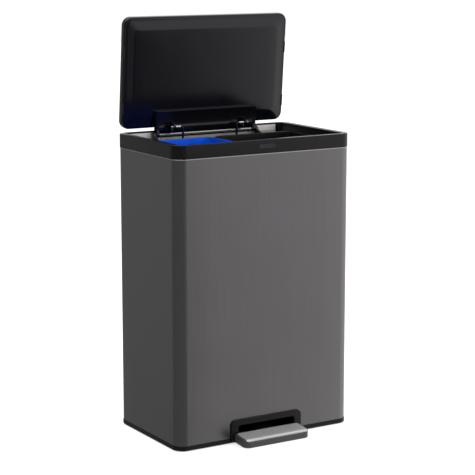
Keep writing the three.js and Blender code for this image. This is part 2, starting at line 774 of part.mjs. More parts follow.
function lidShell() {
  const outer = loft([
    lidRing(1, lidBottom),
    lidRing(0, lidBottom + 1.5),
    lidRing(0, lidTop - LID_EDGE),
    lidRing(LID_EDGE * 0.3, lidTop - LID_EDGE * 0.3),
    lidRing(LID_EDGE, lidTop),
  ], 8);
  const hollow = loft([lidRing(LID_WALL, lidBottom - PAST), lidRing(LID_WALL, lidTop - LID_WALL)], 8);
  return cut(outer, hollow);
}

// The outer steel skin is a shallow crowned sheet on top of the shell.
function lidSkin() {
  const z = lidTop + SKIN_SEAT;
  const inner = (inset, r) => ring(lidHalf - inset, lidFront + inset, lidBack - inset, r, z + LID_CROWN);
  return loft([
    lidRing(SKIN_INSET, z),
    lidRing(SKIN_INSET, z + SKIN_SHEET),
    { ...inner(SKIN_INSET + 8, LID_CORNER_R - SKIN_INSET - 6), z: z + LID_CROWN * 0.7 },
    inner(SKIN_INSET + 30, 8),
  ], 8);
}

// Inner panel: a flange inside the skirt and a pillow that drops below it.
function lidInnerPanel() {
  const inset = LID_WALL + SEAM;
  const z = lidBottom + FLANGE_RISE;
  const pillow = (grow, r, height) =>
    ring(lidHalf - PILLOW_INSET + grow, lidFront + PILLOW_FRONT_INSET - grow, lidBack - PILLOW_INSET + grow, r, height);
  const outer = loft([
    pillow(-4, PILLOW_R, pillowZ),
    pillow(-1, PILLOW_R + 2, pillowZ + 1.2),
    pillow(1, PILLOW_R + 4, pillowZ + 4),
    pillow(2, PILLOW_R + 5, z - 1.5),
    lidRing(inset, z),
    lidRing(inset, z + FLANGE_THICK),
  ], 8);
  const hollow = loft([
    pillow(-5, PILLOW_R - 1, pillowZ + PILLOW_WALL),
    pillow(-2, PILLOW_R + 2, z + FLANGE_THICK + PAST),
  ], 8);
  return cut(outer, hollow);
}

function hingePlate() {
  const outline = roundedShape(plateBack - PLATE_LENGTH, plateBack, plateBottom, plateTop, [2.5, 2, 1, 1]);
  const plate = slabX(outline, -PLATE_HALF, PLATE_HALF, 5);
  return join(plate, gusset(-1), gusset(1));
}

// End gusset: from the plate down and back round the hinge rod.
function gusset(side) {
  const top = plateTop - GUSSET_SINK;
  const outline = polygon([
    [plateBack - GUSSET_REACH, top],
    [plateBack - GUSSET_REACH, plateBottom],
    [hingeY - eyeR * 1.2, hingeZ - eyeR],
    [hingeY, hingeZ - eyeR],
    [hingeY + 1, top],
  ]);
  const [x0, x1] = between(side, PLATE_HALF - GUSSET, PLATE_HALF);
  const arm = slabX(outline, x0, x1);
  const eye = rodX(x0, x1, hingeY, hingeZ, eyeR, 24);
  return cut(join(arm, eye), rodX(x0 - PAST, x1 + PAST, hingeY, hingeZ, HINGE_ROD_R + RUNNING_GAP, 24));
}

// Lug with a slot that points at the hinge: the lift frame's end slides along it as the lid turns.
function lug(side) {
  const along = [Math.cos(pinHalfAngle), Math.sin(pinHalfAngle)];
  const place = (reach, across) => [
    hingeY - reach * along[0] + across * along[1],
    hingeZ - reach * along[1] - across * along[0],
  ];
  const near = PIN_REACH * along[0];
  const x0 = side * LUG_X - LUG_THICK / 2;
  const x1 = side * LUG_X + LUG_THICK / 2;
  const capsule = (r, grow) => {
    const strip = [place(near, r), place(PIN_REACH, r), place(PIN_REACH, -r), place(near, -r)];
    return join(
      rodX(x0 - grow, x1 + grow, ...place(near, 0), r, 20),
      rodX(x0 - grow, x1 + grow, ...place(PIN_REACH, 0), r, 20),
      slabX(polygon(strip), x0 - grow, x1 + grow),
    );
  };
  const slotR = WIRE_R + SLOT_CLEAR;
  const arm = box(x0, x1, wireY - LUG_FRONT, plateBack - 1, hingeZ - LUG_BELOW, plateBottom - SEAM);
  const aboveJoint = box(x0 - PAST, x1 + PAST, 0, halfD, plateBottom - SEAM, lidTop);
  const rodRoom = rodX(x0 - PAST, x1 + PAST, hingeY, hingeZ, HINGE_ROD_R + PLATE_ROD_GAP);
  return cut(join(capsule(slotR + LUG_WALL, 0), arm), capsule(slotR, PAST), aboveJoint, rodRoom);
}

// Soft pad under the lid's skirt, which meets the rim's land when the lid is closed.
function bumper(side, y) {
  const [x0, x1] = between(side, lidHalf - LID_WALL + 0.2, lidHalf - 1.1);
  return box(x0, x1, y - BUMPER_HALF, y + BUMPER_HALF, RIM_TOP + SEAM, lidBottom - FOOT_SEAT);
}

// ---- Pedal, drawn pressed down ----
// Height of the lever's centre line.
function leverPoint(y) {
  return PIVOT_Z + (y - pivotY) * Math.tan(leverAngle);
}

function pedalLever() {
  const t = LEVER_THICK / 2;
  const bar = polygon([
    [leverFront, leverPoint(leverFront) - t - LEVER_DROP],
    [pivotY, PIVOT_Z - t],
    [wireY, barOpenZ - t],
    [wireY, barOpenZ + t],
    [pivotY, PIVOT_Z + t],
    [leverFront, leverPoint(leverFront) + t - LEVER_DROP],
  ]);
  const half = LEVER_WIDTH / 2;
  const hub = rodX(-half, half, pivotY, PIVOT_Z, PIVOT_R + PIVOT_HUB, 24);
  const end = rodX(-half, half, wireY, barOpenZ, LEVER_END_R, 24);
  const gap = WIRE_R + LEVER_PLAY;
  const fork = box(-half - PAST, half + PAST, wireY - 1, wireY + 2 * LEVER_END_R, barOpenZ - gap, barOpenZ + gap);
  const throat = rodX(-half - PAST, half + PAST, wireY - 1.6, barOpenZ, gap, 24);
  const bore = rodX(-half - PAST, half + PAST, pivotY, PIVOT_Z, PIVOT_R + RUNNING_GAP, 24);
  return cut(join(slabX(bar, -half, half), hub, end), fork, throat, bore);
}

// Height of the pedal's top: a sloping flat with a steeper bevel along its front edge.
function pedalTop(y) {
  const slope = Math.tan(THREE.MathUtils.degToRad(PEDAL_TILT));
  const bevel = y < pedalKnee ? (pedalKnee - y) * PEDAL_BEVEL : 0;
  return PEDAL_TOP_BACK + (y - pedalBack) * slope - bevel;
}

function pedalOutline(inset) {
  const half = PEDAL_HALF - inset;
  const front = PEDAL_FRONT_R - inset;
  const shape = roundedShape(-half, half, pedalFront + inset, pedalBack - inset, [front, front, PEDAL_BACK_R, PEDAL_BACK_R]);
  return new THREE.ExtrudeGeometry(shape, { depth: 3 * PEDAL_TOP_BACK, bevelEnabled: false, curveSegments: 6 });
}

// What an outline seen from the side and an outline seen from above have in common.
function pedalSolid(points, inset) {
  const slab = slabX(polygon(points), -PEDAL_HALF - PAST, PEDAL_HALF + PAST);
  return toGeometry(toSolid(slab).intersect(toSolid(pedalOutline(inset))));
}

function pedalBase() {
  const under = TREAD_THICK + SEAM;
  const front = pedalFront - PAST;
  const back = pedalBack + PAST;
  const points = [
    [front, PEDAL_FLOOR_GAP],
    [pedalBack - 6, PEDAL_FLOOR_GAP + 1.5],
    [back, pedalTop(pedalBack) - PEDAL_HEIGHT],
    [back, pedalTop(back) - under],
    [pedalKnee, pedalTop(pedalKnee) - under],
    [front, pedalTop(front) - under],
  ];
  return cut(pedalSolid(points, 0), leverPocket());
}

// The pedal's body is pushed over the lever's front end.
function leverPocket() {
  const half = LEVER_WIDTH / 2 + SEAM;
  const t = LEVER_THICK / 2 + SEAM;
  const front = leverFront - SEAM;
  const outline = polygon([
    [front, leverPoint(front) - t - LEVER_DROP],
    [pivotY, PIVOT_Z - t],
    [pivotY, PIVOT_Z + t],
    [front, leverPoint(front) + t - LEVER_DROP],
  ]);
  return slabX(outline, -half, half);
}

function pedalTread() {
  const stations = [pedalFront - PAST, pedalKnee, pedalBack + PAST];
  const points = [
    ...stations.map((y) => [y, pedalTop(y) - TREAD_THICK]),
    ...stations.reverse().map((y) => [y, pedalTop(y)]),
  ];
  return pedalSolid(points, TREAD_INSET);
}

function pivotRod() {
  const end = LEVER_WIDTH / 2 + PIVOT_BRACKET_GAP + PIVOT_BRACKET_THICK + PIVOT_R;
  return rodX(-end, end, pivotY, PIVOT_Z, PIVOT_R);
}

function pivotBracket(side) {
  const corners = [0, 0, PIVOT_BRACKET_R, PIVOT_BRACKET_R];
  const outline = roundedShape(pivotY - PIVOT_BRACKET_HALF, pivotY + PIVOT_BRACKET_HALF, baseFloor + SEAM,
    PIVOT_Z + PIVOT_BRACKET_ABOVE, corners);
  const near = LEVER_WIDTH / 2 + PIVOT_BRACKET_GAP;
  const [x0, x1] = between(side, near, near + PIVOT_BRACKET_THICK);
  return cut(slabX(outline, x0, x1), rodX(x0 - PAST, x1 + PAST, pivotY, PIVOT_Z, PIVOT_R + RUNNING_GAP));
}

// ---- Inner buckets ----
function bucket(side) {
  const middle = BUCKET_SPLIT_X + side * BUCKET_GAP / 2;
  const outside = side * (innerHalf - BUCKET_SIDE_GAP);
  const x0 = Math.min(middle, outside);
  const x1 = Math.max(middle, outside);
  const y0 = innerFront + BUCKET_SIDE_GAP;
  const inside = (inset, r, z) =>
    ({ x0: x0 + inset, x1: x1 - inset, y0: y0 + inset, y1: bucketBack - inset, r, z });
  const low = BUCKET_LIP + BUCKET_DRAFT;
  const lipBottom = bucketTop - BUCKET_LIP_HEIGHT;
  const outer = loft([
    inside(low + 3, BUCKET_R - 4, floorTop),
    inside(low, BUCKET_R - 2, floorTop + 4),
    inside(BUCKET_LIP, BUCKET_R - 2, lipBottom - 1),
    inside(0, BUCKET_R, lipBottom),
    inside(0, BUCKET_R, bucketTop - 1),
    inside(1, BUCKET_R - 1, bucketTop),
  ]);
  const inner = loft([
    inside(low + BUCKET_WALL + 2, BUCKET_R - 5, floorTop + BUCKET_WALL),
    inside(low + BUCKET_WALL, BUCKET_R - 4, floorTop + BUCKET_WALL + 3),
    inside(BUCKET_LIP + BUCKET_WALL, BUCKET_R - 4, lipBottom),
    inside(BUCKET_LIP + BUCKET_WALL - 1, BUCKET_R - 3, bucketTop + PAST),
  ]);
  return cut(outer, inner);
}

// ---- Screws ----
// Pan head with a cross slot and a short shank, drawn along +Y with its head at the front.
function screw(x, y, z) {
  const profile = [[0, 0], [SCREW_R, 0], [SCREW_R, 0.9], [SCREW_R * 0.55, 1.9], [0, 2.1]];
  const head = new THREE.LatheGeometry(profile.map(([r, h]) => new THREE.Vector2(r, h)), 14);
  const shank = new THREE.CylinderGeometry(SCREW_SHANK_R, SCREW_SHANK_R, SCREW_REACH, 10)
    .translate(0, -SCREW_REACH / 2 + SCREW_SEAT, 0);
  const arm = SCREW_R * 2 / 3;
  const slots = [box(-arm, arm, 1.2, 3, -0.4, 0.4), box(-0.4, 0.4, 1.2, 3, -arm, arm)];
  return cut(join(head, shank), ...slots).rotateX(Math.PI).translate(x, y, z);
}

function screwHole(x, y, z) {
  return rodY(x, y - 3 * SCREW_REACH, y + 3 * SCREW_REACH, z, SCREW_HOLE_R, 10);
}

// ---- Assembly ----
const bin = new THREE.Group();
bin.name = "double_recycling_bin";

function add(parent, name, geometry, material) {
  const mesh = new THREE.Mesh(geometry, material);
  mesh.name = name;
  parent.add(mesh);
}

add(bin, "body_wrap", bodyWrap(), darkSteel);
add(bin, "top_rim", topRim(), blackPlastic);
add(bin, "badge_plate", badgePlate(), greyPlastic);
add(bin, "base_tray", baseTray(), blackPlastic);
add(bin, "pedal_surround", pedalSurround(), blackPlastic);
add(bin, "inner_floor", innerFloor(), blackPlastic);

for (const [name, sx, sy] of [
  ["foot_front_left", -1, -1],
  ["foot_front_right", 1, -1],
  ["foot_back_left", -1, 1],
  ["foot_back_right", 1, 1],
]) {
  add(bin, name, foot(sx * (halfW - FOOT_INSET), sy * (halfD - FOOT_INSET)), rubber);
}

add(bin, "mechanism_cover", mechanismCover(), blackPlastic);
add(bin, "rear_spine", rearSpine(), blackPlastic);
add(bin, "wire_guide_upper", wireGuide(guideHighZ), blackPlastic);
add(bin, "wire_guide_lower", wireGuide(GUIDE_LOW_Z), blackPlastic);
add(bin, "damper_cylinder", damperCylinder(), greyPlastic);
add(bin, "damper_clamp_upper", damperClamp(DAMPER_TOP - CLAMP_HIGH), blackPlastic);
add(bin, "damper_clamp_lower", damperClamp(DAMPER_BOTTOM + CLAMP_LOW), blackPlastic);
add(bin, "pivot_bracket_left", pivotBracket(-1), blackPlastic);
add(bin, "pivot_bracket_right", pivotBracket(1), blackPlastic);
add(bin, "pedal_pivot_rod", pivotRod(), brightSteel);

add(bin, "hinge_rail", hingeRail(), paleSteel);
add(bin, "hinge_bracket_left", hingeBracket(-1), lidBlack);
add(bin, "hinge_bracket_right", hingeBracket(1), lidBlack);
add(bin, "hinge_rod", hingeRod(), brightSteel);
add(bin, "hinge_backing", hingeBacking(), blackPlastic);
railScrews.forEach((x, i) => {
  add(bin, `rail_screw_${i + 1}`, screw(x, railFront - SCREW_SEAT, railScrewZ), brightSteel);
});

const wireGroup = new THREE.Group();
bin.add(wireGroup);
add(wireGroup, "lift_frame", liftFrame(), brightSteel);
add(wireGroup, "lift_bridge", liftBridge(), greyPlastic);
add(wireGroup, "damper_rod", damperRod(), brightSteel);

const pedal = new THREE.Group();
bin.add(pedal);
add(pedal, "pedal_lever", pedalLever(), darkSteel);
add(pedal, "pedal_base", pedalBase(), greyPlastic);
add(pedal, "pedal_tread", pedalTread(), treadSteel);

// The lid's pieces are drawn closed, in a group that is turned open about the hinge rod.
const lid = new THREE.Group();
lid.position.set(0, hingeY, hingeZ);
lid.rotation.x = -openRad;
bin.add(lid);
const closed = new THREE.Group();
closed.position.set(0, -hingeY, -hingeZ);
lid.add(closed);
add(closed, "lid_shell", lidShell(), lidBlack);
add(closed, "lid_skin", lidSkin(), darkSteel);
add(closed, "lid_inner_panel", lidInnerPanel(), lidBlack);
add(closed, "hinge_plate", hingePlate(), lidBlack);
add(closed, "lift_lug_left", lug(-1), lidBlack);
add(closed, "lift_lug_right", lug(1), lidBlack);
for (const [name, side, y] of [
  ["lid_bumper_front_left", -1, -BUMPER_Y],
  ["lid_bumper_front_right", 1, -BUMPER_Y],
  ["lid_bumper_back_left", -1, BUMPER_Y],
  ["lid_bumper_back_right", 1, BUMPER_Y],
]) {
  add(closed, name, bumper(side, y), rubber);
}

add(bin, "bucket_left", bucket(-1), bluePlastic);
add(bin, "bucket_right", bucket(1), blackPlastic);
add(bin, "hold_open_slider", holdOpenSlider(), redPlastic);

export default bin;
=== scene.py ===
"""Looks of a double recycling bin: a step bin in dark brushed steel with two lift-out buckets.

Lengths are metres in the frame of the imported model. The lid's pieces are worked out closed
and then turned open about the hinge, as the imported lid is.
"""

import json
import math

import bmesh
import bpy
import numpy as np
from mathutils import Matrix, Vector


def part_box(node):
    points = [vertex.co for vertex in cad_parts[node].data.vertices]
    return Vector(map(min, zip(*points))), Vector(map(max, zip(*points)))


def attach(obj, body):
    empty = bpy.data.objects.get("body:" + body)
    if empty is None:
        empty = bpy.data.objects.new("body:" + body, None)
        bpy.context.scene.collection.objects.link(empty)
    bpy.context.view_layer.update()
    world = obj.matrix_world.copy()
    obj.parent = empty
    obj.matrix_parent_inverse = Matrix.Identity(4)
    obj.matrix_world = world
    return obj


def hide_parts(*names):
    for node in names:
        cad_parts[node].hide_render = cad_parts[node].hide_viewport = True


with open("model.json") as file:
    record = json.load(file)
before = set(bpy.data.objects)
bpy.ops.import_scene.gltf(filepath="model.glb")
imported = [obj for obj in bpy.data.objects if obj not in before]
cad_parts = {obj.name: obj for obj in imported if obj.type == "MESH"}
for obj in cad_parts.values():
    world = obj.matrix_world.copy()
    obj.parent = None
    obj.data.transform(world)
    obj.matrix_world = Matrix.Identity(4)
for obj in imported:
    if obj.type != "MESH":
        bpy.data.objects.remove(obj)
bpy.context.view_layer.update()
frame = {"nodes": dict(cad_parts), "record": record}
MM = 0.001

# ---- Camera -------------------------------------------------------------------------------
CAMERA_AT = (-1.80025, -2.96521, 1.04726)
CAMERA_YAW = math.radians(31.393)
CAMERA_PITCH = math.radians(10.353)
CAMERA_LENS = 123.99
CAMERA_SENSOR = 36.0
CAMERA_REACH = 50


def camera():
    """The photograph's viewpoint, in front of the bin's left corner and a little above its rim."""
    data = bpy.data.cameras.new("camera")
    data.lens = CAMERA_LENS
    data.sensor_width = CAMERA_SENSOR
    data.clip_end = CAMERA_REACH
    made = bpy.data.objects.new("camera", data)
    made.location = CAMERA_AT
    made.rotation_euler = (math.pi / 2 - CAMERA_PITCH, 0, -CAMERA_YAW)
    bpy.context.collection.objects.link(made)
    bpy.context.scene.camera = made


camera()

# ---- Shader node helpers ------------------------------------------------------------------
SURFACE = {"Colour": "NodeSocketColor", "Roughness": "NodeSocketFloat",
           "Normal": "NodeSocketVector"}
STREAK_SHARE = 0.8
STREAK_ROUGHNESS = 0.18
STREAK_DEPTH = 0.4 * MM
GRAIN_DEPTH = 0.2 * MM


def put(tree, value, socket):
    """Feeds a socket from another one, or sets it to a plain value."""
    if isinstance(value, bpy.types.NodeSocket):
        tree.links.new(value, socket)
    else:
        socket.default_value = value


def node(tree, kind, **values):
    """A node of that kind. Each value sets a property, or feeds the input of that name."""
    made = tree.nodes.new(kind)
    for key, value in values.items():
        if hasattr(made, key):
            setattr(made, key, value)
        else:
            put(tree, value, made.inputs[key.replace("_", " ")])
    return made


def calc(tree, operation, *values):
    """The result of a math node. Each value is a socket or a number."""
    made = node(tree, "ShaderNodeMath", operation=operation)
    for value, socket in zip(values, made.inputs):
        put(tree, value, socket)
    return made.outputs[0]


def new_material(name, slots):
    """A material with its Principled shader, whose own sockets take the plain values in slots."""
    material = bpy.data.materials.new(name)
    material.use_nodes = True
    shader = material.node_tree.nodes["Principled BSDF"]
    for socket, value in slots.items():
        shader.inputs[socket].default_value = value
    return material, material.node_tree, shader


def new_group(name, inputs):
    """A node group with inputs {name: default}, whose outputs are those of SURFACE."""
    tree = bpy.data.node_groups.new(name, "ShaderNodeTree")
    for key, default in inputs.items():
        kind = "NodeSocketFloat" if isinstance(default, (int, float)) else "NodeSocketVector"
        kind = "NodeSocketColor" if isinstance(default, tuple) and len(default) == 4 else kind
        socket = tree.interface.new_socket(key, in_out="INPUT", socket_type=kind)
        socket.default_value = default
    for key, kind in SURFACE.items():
        tree.interface.new_socket(key, in_out="OUTPUT", socket_type=kind)
    given = tree.nodes.new("NodeGroupInput")
    out = tree.nodes.new("NodeGroupOutput")
    return tree, given.outputs, out.inputs


def close_group(tree, given, out, gain, roughness, height, depth):
    """Ends a group with its colour scaled by gain, its roughness and a bump of that depth."""
    colour = node(tree, "ShaderNodeVectorMath", operation="SCALE", Scale=gain)
    put(tree, given["Colour"], colour.inputs[0])
    bump = node(tree, "ShaderNodeBump", Distance=depth, Height=height, Strength=given["Bump"])
    put(tree, colour.outputs["Vector"], out["Colour"])
    put(tree, roughness, out["Roughness"])
    put(tree, bump.outputs["Normal"], out["Normal"])
    return tree


def brushed_group():
    """Brushed metal: long thin streaks over slow cloudy variation. Their sum, less one half, scales
    the colour by the contrast and moves the roughness a little."""
    tree, given, out = new_group("brushed_metal", {
        "Colour": (0.5, 0.5, 0.5, 1.0), "Stretch": (1.0, 1.0, 1.0), "Contrast": 0.2,
        "Roughness": 0.35, "Bump": 0.02})
    place = node(tree, "ShaderNodeTexCoord").outputs["Object"]
    long = node(tree, "ShaderNodeMapping", Vector=place, Scale=given["Stretch"]).outputs["Vector"]
    streaks = node(tree, "ShaderNodeTexNoise", Vector=long, Scale=1.0, Detail=5.0, Roughness=0.7)
    clouds = node(tree, "ShaderNodeTexNoise", Vector=place, Scale=7.0, Detail=2.0)
    streaks, clouds = streaks.outputs["Fac"], clouds.outputs["Fac"]
    cloudy = calc(tree, "MULTIPLY", clouds, 1 - STREAK_SHARE)
    both = calc(tree, "MULTIPLY_ADD", streaks, STREAK_SHARE, cloudy)
    centred = calc(tree, "SUBTRACT", both, 0.5)
    gain = calc(tree, "ADD", calc(tree, "MULTIPLY", centred, given["Contrast"]), 1.0)
    roughness = calc(tree, "MULTIPLY_ADD", centred, STREAK_ROUGHNESS, given["Roughness"])
    return close_group(tree, given, out, gain, roughness, streaks, STREAK_DEPTH)


def moulded_group():
    """Moulded plastic: a fine spark-eroded grain, and faint handling marks that scale the colour
    and the roughness by 0.9 to 1.1."""
    tree, given, out = new_group("moulded_plastic", {
        "Colour": (0.02, 0.02, 0.02, 1.0), "Grain": 2600.0, "Roughness": 0.45, "Bump": 0.1})
    place = node(tree, "ShaderNodeTexCoord").outputs["Object"]
    grain = node(tree, "ShaderNodeTexNoise", Vector=place, Scale=given["Grain"], Detail=2.0)
    marks = node(tree, "ShaderNodeTexNoise", Vector=place, Scale=22.0, Detail=6.0, Roughness=0.65)
    gain = node(tree, "ShaderNodeMapRange", Value=marks.outputs["Fac"], From_Min=0.3, From_Max=0.7,
                To_Min=0.9, To_Max=1.1).outputs["Result"]
    roughness = calc(tree, "MULTIPLY", gain, given["Roughness"])
    return close_group(tree, given, out, gain, roughness, grain.outputs["Fac"], GRAIN_DEPTH)


# ---- Materials ----------------------------------------------------------------------------
BRUSHED = brushed_group()
MOULDED = moulded_group()
ALONG_Z = (1100.0, 1100.0, 5.0)
ALONG_X = (6.0, 1100.0, 1100.0)
EVENLY = (500.0, 500.0, 500.0)
MATERIALS = {}


def dressed(name, group, values, slots):
    """Adds a material whose colour, roughness and normal come from one of the surface groups."""
    material, tree, shader = new_material(name, slots)
    surface = node(tree, "ShaderNodeGroup", node_tree=group, **values)
    for key, socket in (("Colour", "Base Color"), ("Roughness", "Roughness"), ("Normal", "Normal")):
        tree.links.new(surface.outputs[key], shader.inputs[socket])
    MATERIALS[name] = material


def brushed(name, colour, stretch, contrast, roughness, metallic=1.0):
    """Adds a brushed metal, whose streaks run along the axis with the smallest stretch."""
    dressed(name, BRUSHED, {"Colour": (*colour, 1), "Stretch": stretch, "Contrast": contrast,
                            "Roughness": roughness, "Bump": 0.05}, {"Metallic": metallic})


def moulded(name, colour, roughness, grain=2600.0, bump=0.1, specular=0.5):
    """Adds a moulded plastic or a paint."""
    dressed(name, MOULDED, {"Colour": (*colour, 1), "Grain": grain, "Roughness": roughness,
                            "Bump": bump}, {"Specular IOR Level": specular})


brushed("dark_steel", (0.186, 0.179, 0.184), ALONG_Z, 0.60, 0.34)
brushed("lid_steel", (0.186, 0.179, 0.184), ALONG_X, 0.60, 0.34)
brushed("pale_steel", (0.86, 0.83, 0.78), ALONG_X, 0.5, 0.42, metallic=0.5)
# The pale rail steel made darker for the ledge: painted shade.
brushed("ledge_painted_shade_steel", (0.36, 0.355, 0.345), ALONG_X, 0.4, 0.45, metallic=0.3)
brushed("bright_steel", (0.72, 0.71, 0.68), EVENLY, 0.12, 0.28)
# Paler steel for the wrap's top edge: a painted highlight.
brushed("painted_highlight_steel", (0.46, 0.45, 0.445), ALONG_X, 0.3, 0.30)
brushed("rod_steel", (0.42, 0.415, 0.41), ALONG_X, 0.3, 0.35)
brushed("tread_steel", (0.56, 0.556, 0.55), ALONG_X, 0.9, 0.36, metallic=0.45)
moulded("black_plastic", (0.0045, 0.0045, 0.0048), 0.42, specular=0.24)
moulded("rim_plastic", (0.0040, 0.0040, 0.0045), 0.30, bump=0.05, specular=0.28)
moulded("lid_black", (0.0034, 0.0036, 0.0062), 0.15, bump=0.01, specular=0.50)
moulded("hinge_black", (0.0034, 0.0034, 0.0052), 0.17, bump=0.01, specular=0.40)
# Near-black plastic for the strip behind the hinge rod: painted shade.
moulded("lever_steel", (0.004, 0.004, 0.004), 0.5, specular=0.2)
moulded("grey_plastic", (0.016, 0.016, 0.017), 0.40, specular=0.35)
moulded("pedal_plastic", (0.052, 0.052, 0.053), 0.42)
moulded("blue_plastic", (0.0002, 0.095, 0.70), 0.34, grain=1800.0, bump=0.04, specular=0.30)
moulded("red_plastic", (0.62, 0.012, 0.012), 0.32)
moulded("rubber", (0.010, 0.010, 0.010), 0.75, grain=1500.0, bump=0.2)
moulded("wire_paint", (0.004, 0.004, 0.005), 0.30, bump=0.03, specular=0.3)

# ---- Mesh helpers -------------------------------------------------------------------------
SHARP_ANGLE = 35
LEAST_RADIUS = 0.4 * MM
LEAST_SHARE = 0.02
ROD_SIDES = 24
NEAR_PARALLEL = 0.1


def mesh_object(name, points, faces, material, smooth_angle=SHARP_ANGLE):
    """A closed object at the origin from an array of points and a list of faces, which are turned
    outwards. It's shaded smooth but for edges sharper than the angle."""
    mesh = bpy.data.meshes.new(name)
    mesh.from_pydata(np.asarray(points).tolist(), [], faces)
    mesh.validate()
    mesh.update()
    made = bpy.data.objects.new(name, mesh)
    bpy.context.collection.objects.link(made)
    mesh.materials.append(MATERIALS[material])
    mesh.shade_smooth()
    mesh.set_sharp_from_angle(angle=math.radians(smooth_angle))
    work = bmesh.new()
    work.from_mesh(mesh)
    bmesh.ops.recalc_face_normals(work, faces=work.faces)
    work.to_mesh(mesh)
    work.free()
    return made


def rounded_loop(x0, x1, y0, y1, radius, arc, side):
    """Points anticlockwise round a rectangle with round corners: arc + 1 points on each corner,
    and side - 1 more on each straight stretch."""
    corners = [(x1 - radius, y0 + radius, -90), (x1 - radius, y1 - radius, 0),
               (x0 + radius, y1 - radius, 90), (x0 + radius, y0 + radius, 180)]
    rounds = []
    for cx, cy, start in corners:
        angle = np.radians(start + np.linspace(0, 90, arc + 1))
        rounds.append(np.stack([cx + radius * np.cos(angle), cy + radius * np.sin(angle)], 1))
    pieces = []
    for k, here in enumerate(rounds):
        after = rounds[(k + 1) % 4][0]
        share = np.linspace(0, 1, side + 1)[1:-1, None]
        pieces += [here, here[-1] * (1 - share) + after * share]
    return np.concatenate(pieces)


def skin_faces(rings, count, closed):
    """Quads between each ring of count points and the next, and from the last to the first when
    closed."""
    i = np.arange(count)
    j = (i + 1) % count
    faces = []
    for k in range(rings if closed else rings - 1):
        a = k * count
        b = ((k + 1) % rings) * count
        faces.append(np.stack([a + i, a + j, b + j, b + i], 1))
    return np.concatenate(faces)


def end_caps(rings, count):
    """One face over the first ring of count points and one over the last."""
    last = (rings - 1) * count
    return [list(range(count - 1, -1, -1)), list(range(last, last + count))]


def skin(name, rings, material, closed=False, warp=None, smooth_angle=SHARP_ANGLE):
    """A surface over rings of equal length, each (loop, height). An open run of rings is capped at
    both ends; a closed one is a hollow band. warp maps the finished points to their place."""
    count = len(rings[0][0])
    points = np.concatenate([np.column_stack([loop, np.full(count, z)]) for loop, z in rings])
    faces = skin_faces(len(rings), count, closed).tolist()
    if not closed:
        faces += end_caps(len(rings), count)
    if warp is not None:
        points = warp(points)
    return mesh_object(name, points, faces, material, smooth_angle)


def rect_rings(box, radius, profile, arc=10, side=1):
    """Rings round the rectangle box (x0, x1, y0, y1): the profile is a list of (inset, height)."""
    x0, x1, y0, y1 = box
    rings = []
    for inset, z in profile:
        r = max(radius - inset, LEAST_RADIUS)
        loop = rounded_loop(x0 + inset, x1 - inset, y0 + inset, y1 - inset, r, arc, side)
        rings.append((loop, z))
    return rings


def crown_over(rings, shares, rise):
    """Adds ever smaller copies of the last ring, whose height grows by rise times one minus the
    square of the copy's share of the full size."""
    last, z = rings[-1]
    middle = last.mean(0)
    for share in shares:
        small = middle + (last - middle) * max(share, LEAST_SHARE)
        rings.append((small, z + rise * (1 - share**2)))


def quarter(cx, cz, r, start, end, steps=5):
    """Points (inset, height) of an arc about (cx, cz), between two angles in degrees."""
    angle = np.radians(np.linspace(start, end, steps + 1))
    return [(cx + r * math.cos(a), cz + r * math.sin(a)) for a in angle]


def soft_box(name, low, high, edge, material, corner=None, axis=2):
    """A block with rounded edges: rounded rectangles stacked along the axis, drawn in by a quarter
    circle at each end."""
    order = [(1, 2, 0), (2, 0, 1), (0, 1, 2)][axis]
    lo = [low[k] for k in order]
    hi = [high[k] for k in order]
    profile = quarter(edge, lo[2] + edge, edge, 270, 180)
    profile += quarter(edge, hi[2] - edge, edge, 180, 90)
    rings = rect_rings((lo[0], hi[0], lo[1], hi[1]), corner or edge, profile, arc=6)

    def place(points):
        out = np.empty_like(points)
        out[:, order] = points
        return out

    return skin(name, rings, material, warp=place)


def tube(name, path, radius, material):
    """A round rod along path: a circle square to the path at each point, turned as little as
    possible from one point to the next, and closed by flat ends."""
    path = np.asarray(path, float)
    along = np.gradient(path, axis=0)
    along /= np.linalg.norm(along, axis=1)[:, None]
    across = np.cross(along, np.array([0.0, 1.0, 0.0]))
    weak = np.linalg.norm(across, axis=1) < NEAR_PARALLEL
    across[weak] = np.cross(along[weak], np.array([1.0, 0.0, 0.0]))
    across /= np.linalg.norm(across, axis=1)[:, None]
    up = np.cross(across, along)
    angle = np.linspace(0, 2 * math.pi, ROD_SIDES, endpoint=False)[None, :, None]
    radii = np.broadcast_to(np.asarray(radius, float), (len(path),))[:, None, None]
    spokes = across[:, None] * np.cos(angle) + up[:, None] * np.sin(angle)
    points = (path[:, None] + spokes * radii).reshape(-1, 3)
    faces = skin_faces(len(path), ROD_SIDES, False).tolist() + end_caps(len(path), ROD_SIDES)
    return mesh_object(name, points, faces, material)


def slab(name, outline, x0, x1, edge, material, warp=None):
    """A plate across X from an outline in Y and Z. Its two ends are chamfered: there the outline is
    drawn towards its middle by the edge's share of the outline's half height."""
    outline = np.asarray(outline, float)
    middle = outline.mean(0)
    half = np.abs(outline - middle).max(0).min()
    rings = []
    for x, draw_in in ((x0, edge), (x0 + edge, 0), (x1 - edge, 0), (x1, edge)):
        shrunk = outline + (middle - outline) * (draw_in / half)
        rings.append(np.column_stack([np.full(len(outline), x), shrunk]))
    points = np.concatenate(rings)
    if warp is not None:
        points = warp(points)
    faces = skin_faces(4, len(outline), False).tolist() + end_caps(4, len(outline))
    return mesh_object(name, points, faces, material)


def join(name, *pieces):
    """One object from several closed ones that lie in or on each other."""
    first = pieces[0]
    with bpy.context.temp_override(active_object=first, selected_editable_objects=list(pieces)):
        bpy.ops.object.join()
    first.name = name
    return first


